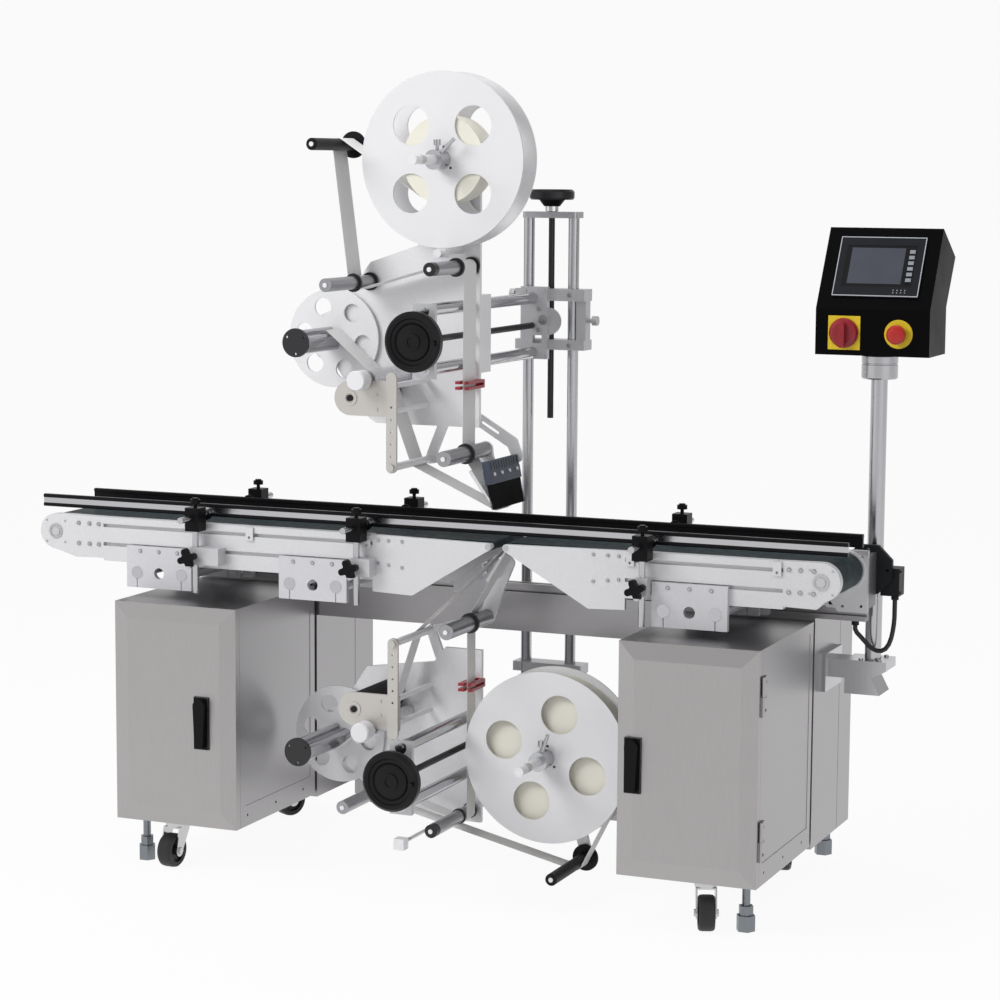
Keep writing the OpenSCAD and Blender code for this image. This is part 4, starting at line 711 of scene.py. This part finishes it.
# Brush: a holder in four segments with slots and screws, and bristles
BRUSH = Matrix.Translation(at(836, 261, 932)) @ turned(-12, "Y")
BRUSH_LEFT, BRUSH_RIGHT = -141, 25
HOLDER_HALF = 8
HOLDER_Z = (-50, -22)
SEGMENT_Z = (-24, 0)
SEGMENT_GAP = 1.4
SEGMENTS = 4
SLOTS_AT = (0.3, 0.7)
SLOT_HALF = 1.8
SLOT_X = (7.6, 8.3)
SLOT_Z = (-20, -4)
SCREW_Z = -30
SCREW_STEPS = 16
BRUSH_SCREW = [(0, 3.2), (3.2, 3.2), (3.8, 2.6), (3.8, 0)]
segment = (BRUSH_RIGHT - BRUSH_LEFT) / SEGMENTS
holder_bm = bmesh.new()
slots_bm = bmesh.new()
screws_bm = bmesh.new()
for k in range(SEGMENTS):
    left = BRUSH_LEFT + k * segment
    right = BRUSH_LEFT + (k + 1) * segment
    block(holder_bm, (-HOLDER_HALF, left + SEGMENT_GAP, SEGMENT_Z[0]),
          (HOLDER_HALF, right - SEGMENT_GAP, SEGMENT_Z[1]), 1.0, BRUSH)
    for share in SLOTS_AT:
        y = BRUSH_LEFT + (k + share) * segment
        block(slots_bm, (SLOT_X[0], y - SLOT_HALF, SLOT_Z[0]),
              (SLOT_X[1], y + SLOT_HALF, SLOT_Z[1]), 0.2, BRUSH)
    screw_place = Vector((HOLDER_HALF, BRUSH_LEFT + (k + 0.5) * segment, SCREW_Z)) / 1000
    screw_axis = BRUSH @ Matrix.Translation(screw_place) @ turned(90, "Y")
    lathe(screws_bm, BRUSH_SCREW, screw_axis, SCREW_STEPS)
block(holder_bm, (-HOLDER_HALF, BRUSH_LEFT, HOLDER_Z[0]), (HOLDER_HALF, BRUSH_RIGHT, HOLDER_Z[1]), 1.0, BRUSH)
holder = piece("brush_holder", holder_bm, brush_slate, "upper_head")
piece("brush_slots", slots_bm, bristle_black, "upper_head")

# Bristles: rows and columns of three-sided strands that lean a little
ROWS = 9
COLUMNS = 190
ROW_STEP = 1.15
END_MARGIN = 2
ROOT_Z = -49
TIP_Z = -103.5
ROOT_R, TIP_R = 0.28, 0.22
SHIFT_X, SHIFT_Y = 0.3, 0.25
LEAN_X, LEAN_Y = 1.4, 1.0
TIP_SPREAD = (-0.5, 1.6)
STRAND_SIDES = ((1, 0), (-0.5, 0.87), (-0.5, -0.87))


def strand_end(bm, x, y, z, r):
    return [bm.verts.new(BRUSH @ (Vector((x + r * c, y + r * s, z)) / 1000)) for c, s in STRAND_SIDES]


bm = bmesh.new()
bristled = BRUSH_RIGHT - BRUSH_LEFT - 2 * END_MARGIN
for j in range(ROWS):
    for k in range(COLUMNS):
        x = (j - ROWS // 2) * ROW_STEP + random.uniform(-SHIFT_X, SHIFT_X)
        y = BRUSH_LEFT + END_MARGIN + (k + 0.5) * bristled / COLUMNS + random.uniform(-SHIFT_Y, SHIFT_Y)
        lean_x = random.uniform(-LEAN_X, LEAN_X)
        lean_y = random.uniform(-LEAN_Y, LEAN_Y)
        tip_z = TIP_Z + random.uniform(*TIP_SPREAD)
        root = strand_end(bm, x, y, ROOT_Z, ROOT_R)
        tip = strand_end(bm, x + lean_x, y + lean_y, tip_z, TIP_R)
        wall(bm, root, tip)
        bm.faces.new(tip)
        bm.faces.new(root[::-1])
bristles = piece("brush_bristles", bm, bristle_black, "upper_head")
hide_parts("upper_brush")
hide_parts("upper_brush")
smooth(piece("brush_screws", screws_bm, white_plastic, "upper_head"))

# Floor and world: near white where they are seen, with the object's shadow left in the floor
FLOOR_GRAY = 0.86
FLOOR_ROUGH = 0.7
FLOOR_SHARE = 0.93
FLOOR_SIZE = 30
SKY_LIGHT = 0.4
SKY_SEEN = 0.955
SEEN_RAYS = ("Is Camera Ray", "Is Glossy Ray", "Is Transmission Ray")


def add_math(tree, operation, a, b):
    node = tree.nodes.new("ShaderNodeMath")
    node.operation = operation
    tree.links.new(a, node.inputs[0])
    if isinstance(b, float):
        node.inputs[1].default_value = b
    else:
        tree.links.new(b, node.inputs[1])
    return node.outputs[0]


def seen(tree, path):
    """1 for what is seen straight, mirrored or through glass, and 0 for the light on the object."""
    camera_ray, glossy_ray, through_ray = (path.outputs[name] for name in SEEN_RAYS)
    return add_math(tree, "MAXIMUM", add_math(tree, "MAXIMUM", camera_ray, glossy_ray), through_ray)


material = bpy.data.materials.new("pale_floor")
material.use_nodes = True
tree = material.node_tree
matt_floor = tree.nodes["Principled BSDF"]
matt_floor.inputs["Base Color"].default_value = (FLOOR_GRAY, FLOOR_GRAY, FLOOR_GRAY, 1)
matt_floor.inputs["Roughness"].default_value = FLOOR_ROUGH
glow = tree.nodes.new("ShaderNodeEmission")
glow.inputs["Color"].default_value = (1, 1, 1, 1)
mix = tree.nodes.new("ShaderNodeMixShader")
path = tree.nodes.new("ShaderNodeLightPath")
tree.links.new(add_math(tree, "MULTIPLY", seen(tree, path), FLOOR_SHARE), mix.inputs[0])
tree.links.new(matt_floor.outputs[0], mix.inputs[1])
tree.links.new(glow.outputs[0], mix.inputs[2])
tree.links.new(mix.outputs[0], tree.nodes["Material Output"].inputs["Surface"])
bm = bmesh.new()
bmesh.ops.create_grid(bm, x_segments=1, y_segments=1, size=FLOOR_SIZE)
mesh = bpy.data.meshes.new("floor")
bm.to_mesh(mesh)
bm.free()
mesh.materials.append(material)
floor = bpy.data.objects.new("floor", mesh)
bpy.context.collection.objects.link(floor)

world = bpy.data.worlds.new("studio")
bpy.context.scene.world = world
world.use_nodes = True
tree = world.node_tree
path = tree.nodes.new("ShaderNodeLightPath")
strength = tree.nodes.new("ShaderNodeMapRange")
strength.inputs["To Min"].default_value = SKY_LIGHT
strength.inputs["To Max"].default_value = SKY_SEEN
tree.links.new(seen(tree, path), strength.inputs["Value"])
tree.links.new(strength.outputs[0], tree.nodes["Background"].inputs["Strength"])

# Panels and gaps round the studio, seen only in reflections: bearing in degrees and brightness
PANELS = ((-180, 0.5), (-160, 1.15), (-118, 1.15), (-104, 0.42), (-70, 0.48), (-55, 1.0), (-18, 1.0),
          (0, 0.28), (60, 0.35), (90, 0.9), (130, 0.9), (150, 0.3), (180, 0.5))
coord = tree.nodes.new("ShaderNodeTexCoord")
split = tree.nodes.new("ShaderNodeSeparateXYZ")
tree.links.new(coord.outputs["Generated"], split.inputs[0])
bearing = tree.nodes.new("ShaderNodeMapRange")
bearing.inputs["From Min"].default_value = -math.pi
bearing.inputs["From Max"].default_value = math.pi
angle = add_math(tree, "ARCTAN2", split.outputs["Y"], split.outputs["X"])
tree.links.new(angle, bearing.inputs["Value"])
panels = tree.nodes.new("ShaderNodeValToRGB")
while len(panels.color_ramp.elements) < len(PANELS):
    panels.color_ramp.elements.new(0.5)
for element, (degrees, level) in zip(panels.color_ramp.elements, PANELS):
    element.position = (degrees + 180) / 360
    element.color = (level, level, level, 1)
tree.links.new(bearing.outputs[0], panels.inputs[0])
mirrored = tree.nodes.new("ShaderNodeMix")
mirrored.data_type = "RGBA"
mirrored.inputs[COLOR_A].default_value = (1, 1, 1, 1)
tree.links.new(path.outputs["Is Glossy Ray"], mirrored.inputs[0])
tree.links.new(panels.outputs[0], mirrored.inputs[COLOR_B])
tree.links.new(mirrored.outputs[COLOR_OUT], tree.nodes["Background"].inputs["Color"])


def area_light(name, place, target, width, height, power, in_mirrors):
    """A soft box at a place, turned towards a target, in metres and watts."""
    light = bpy.data.lights.new(name, "AREA")
    light.shape = "RECTANGLE"
    light.size = width
    light.size_y = height
    light.energy = power
    obj = bpy.data.objects.new(name, light)
    obj.location = place
    obj.rotation_euler = (Vector(target) - Vector(place)).to_track_quat("-Z", "Y").to_euler()
    obj.visible_glossy = in_mirrors
    bpy.context.collection.objects.link(obj)


area_light("key_light", (-2.2, -3.2, 3.4), (0, 0, 0.8), 2.4, 1.8, 122, False)
area_light("fill_light", (3.8, -1.8, 2.2), (0, 0, 0.8), 2.0, 2.0, 7, True)
area_light("top_light", (0, 0.2, 4.2), (0, 0, 0), 3.2, 2.0, 45, False)

bpy.context.scene.view_settings.view_transform = "Standard"
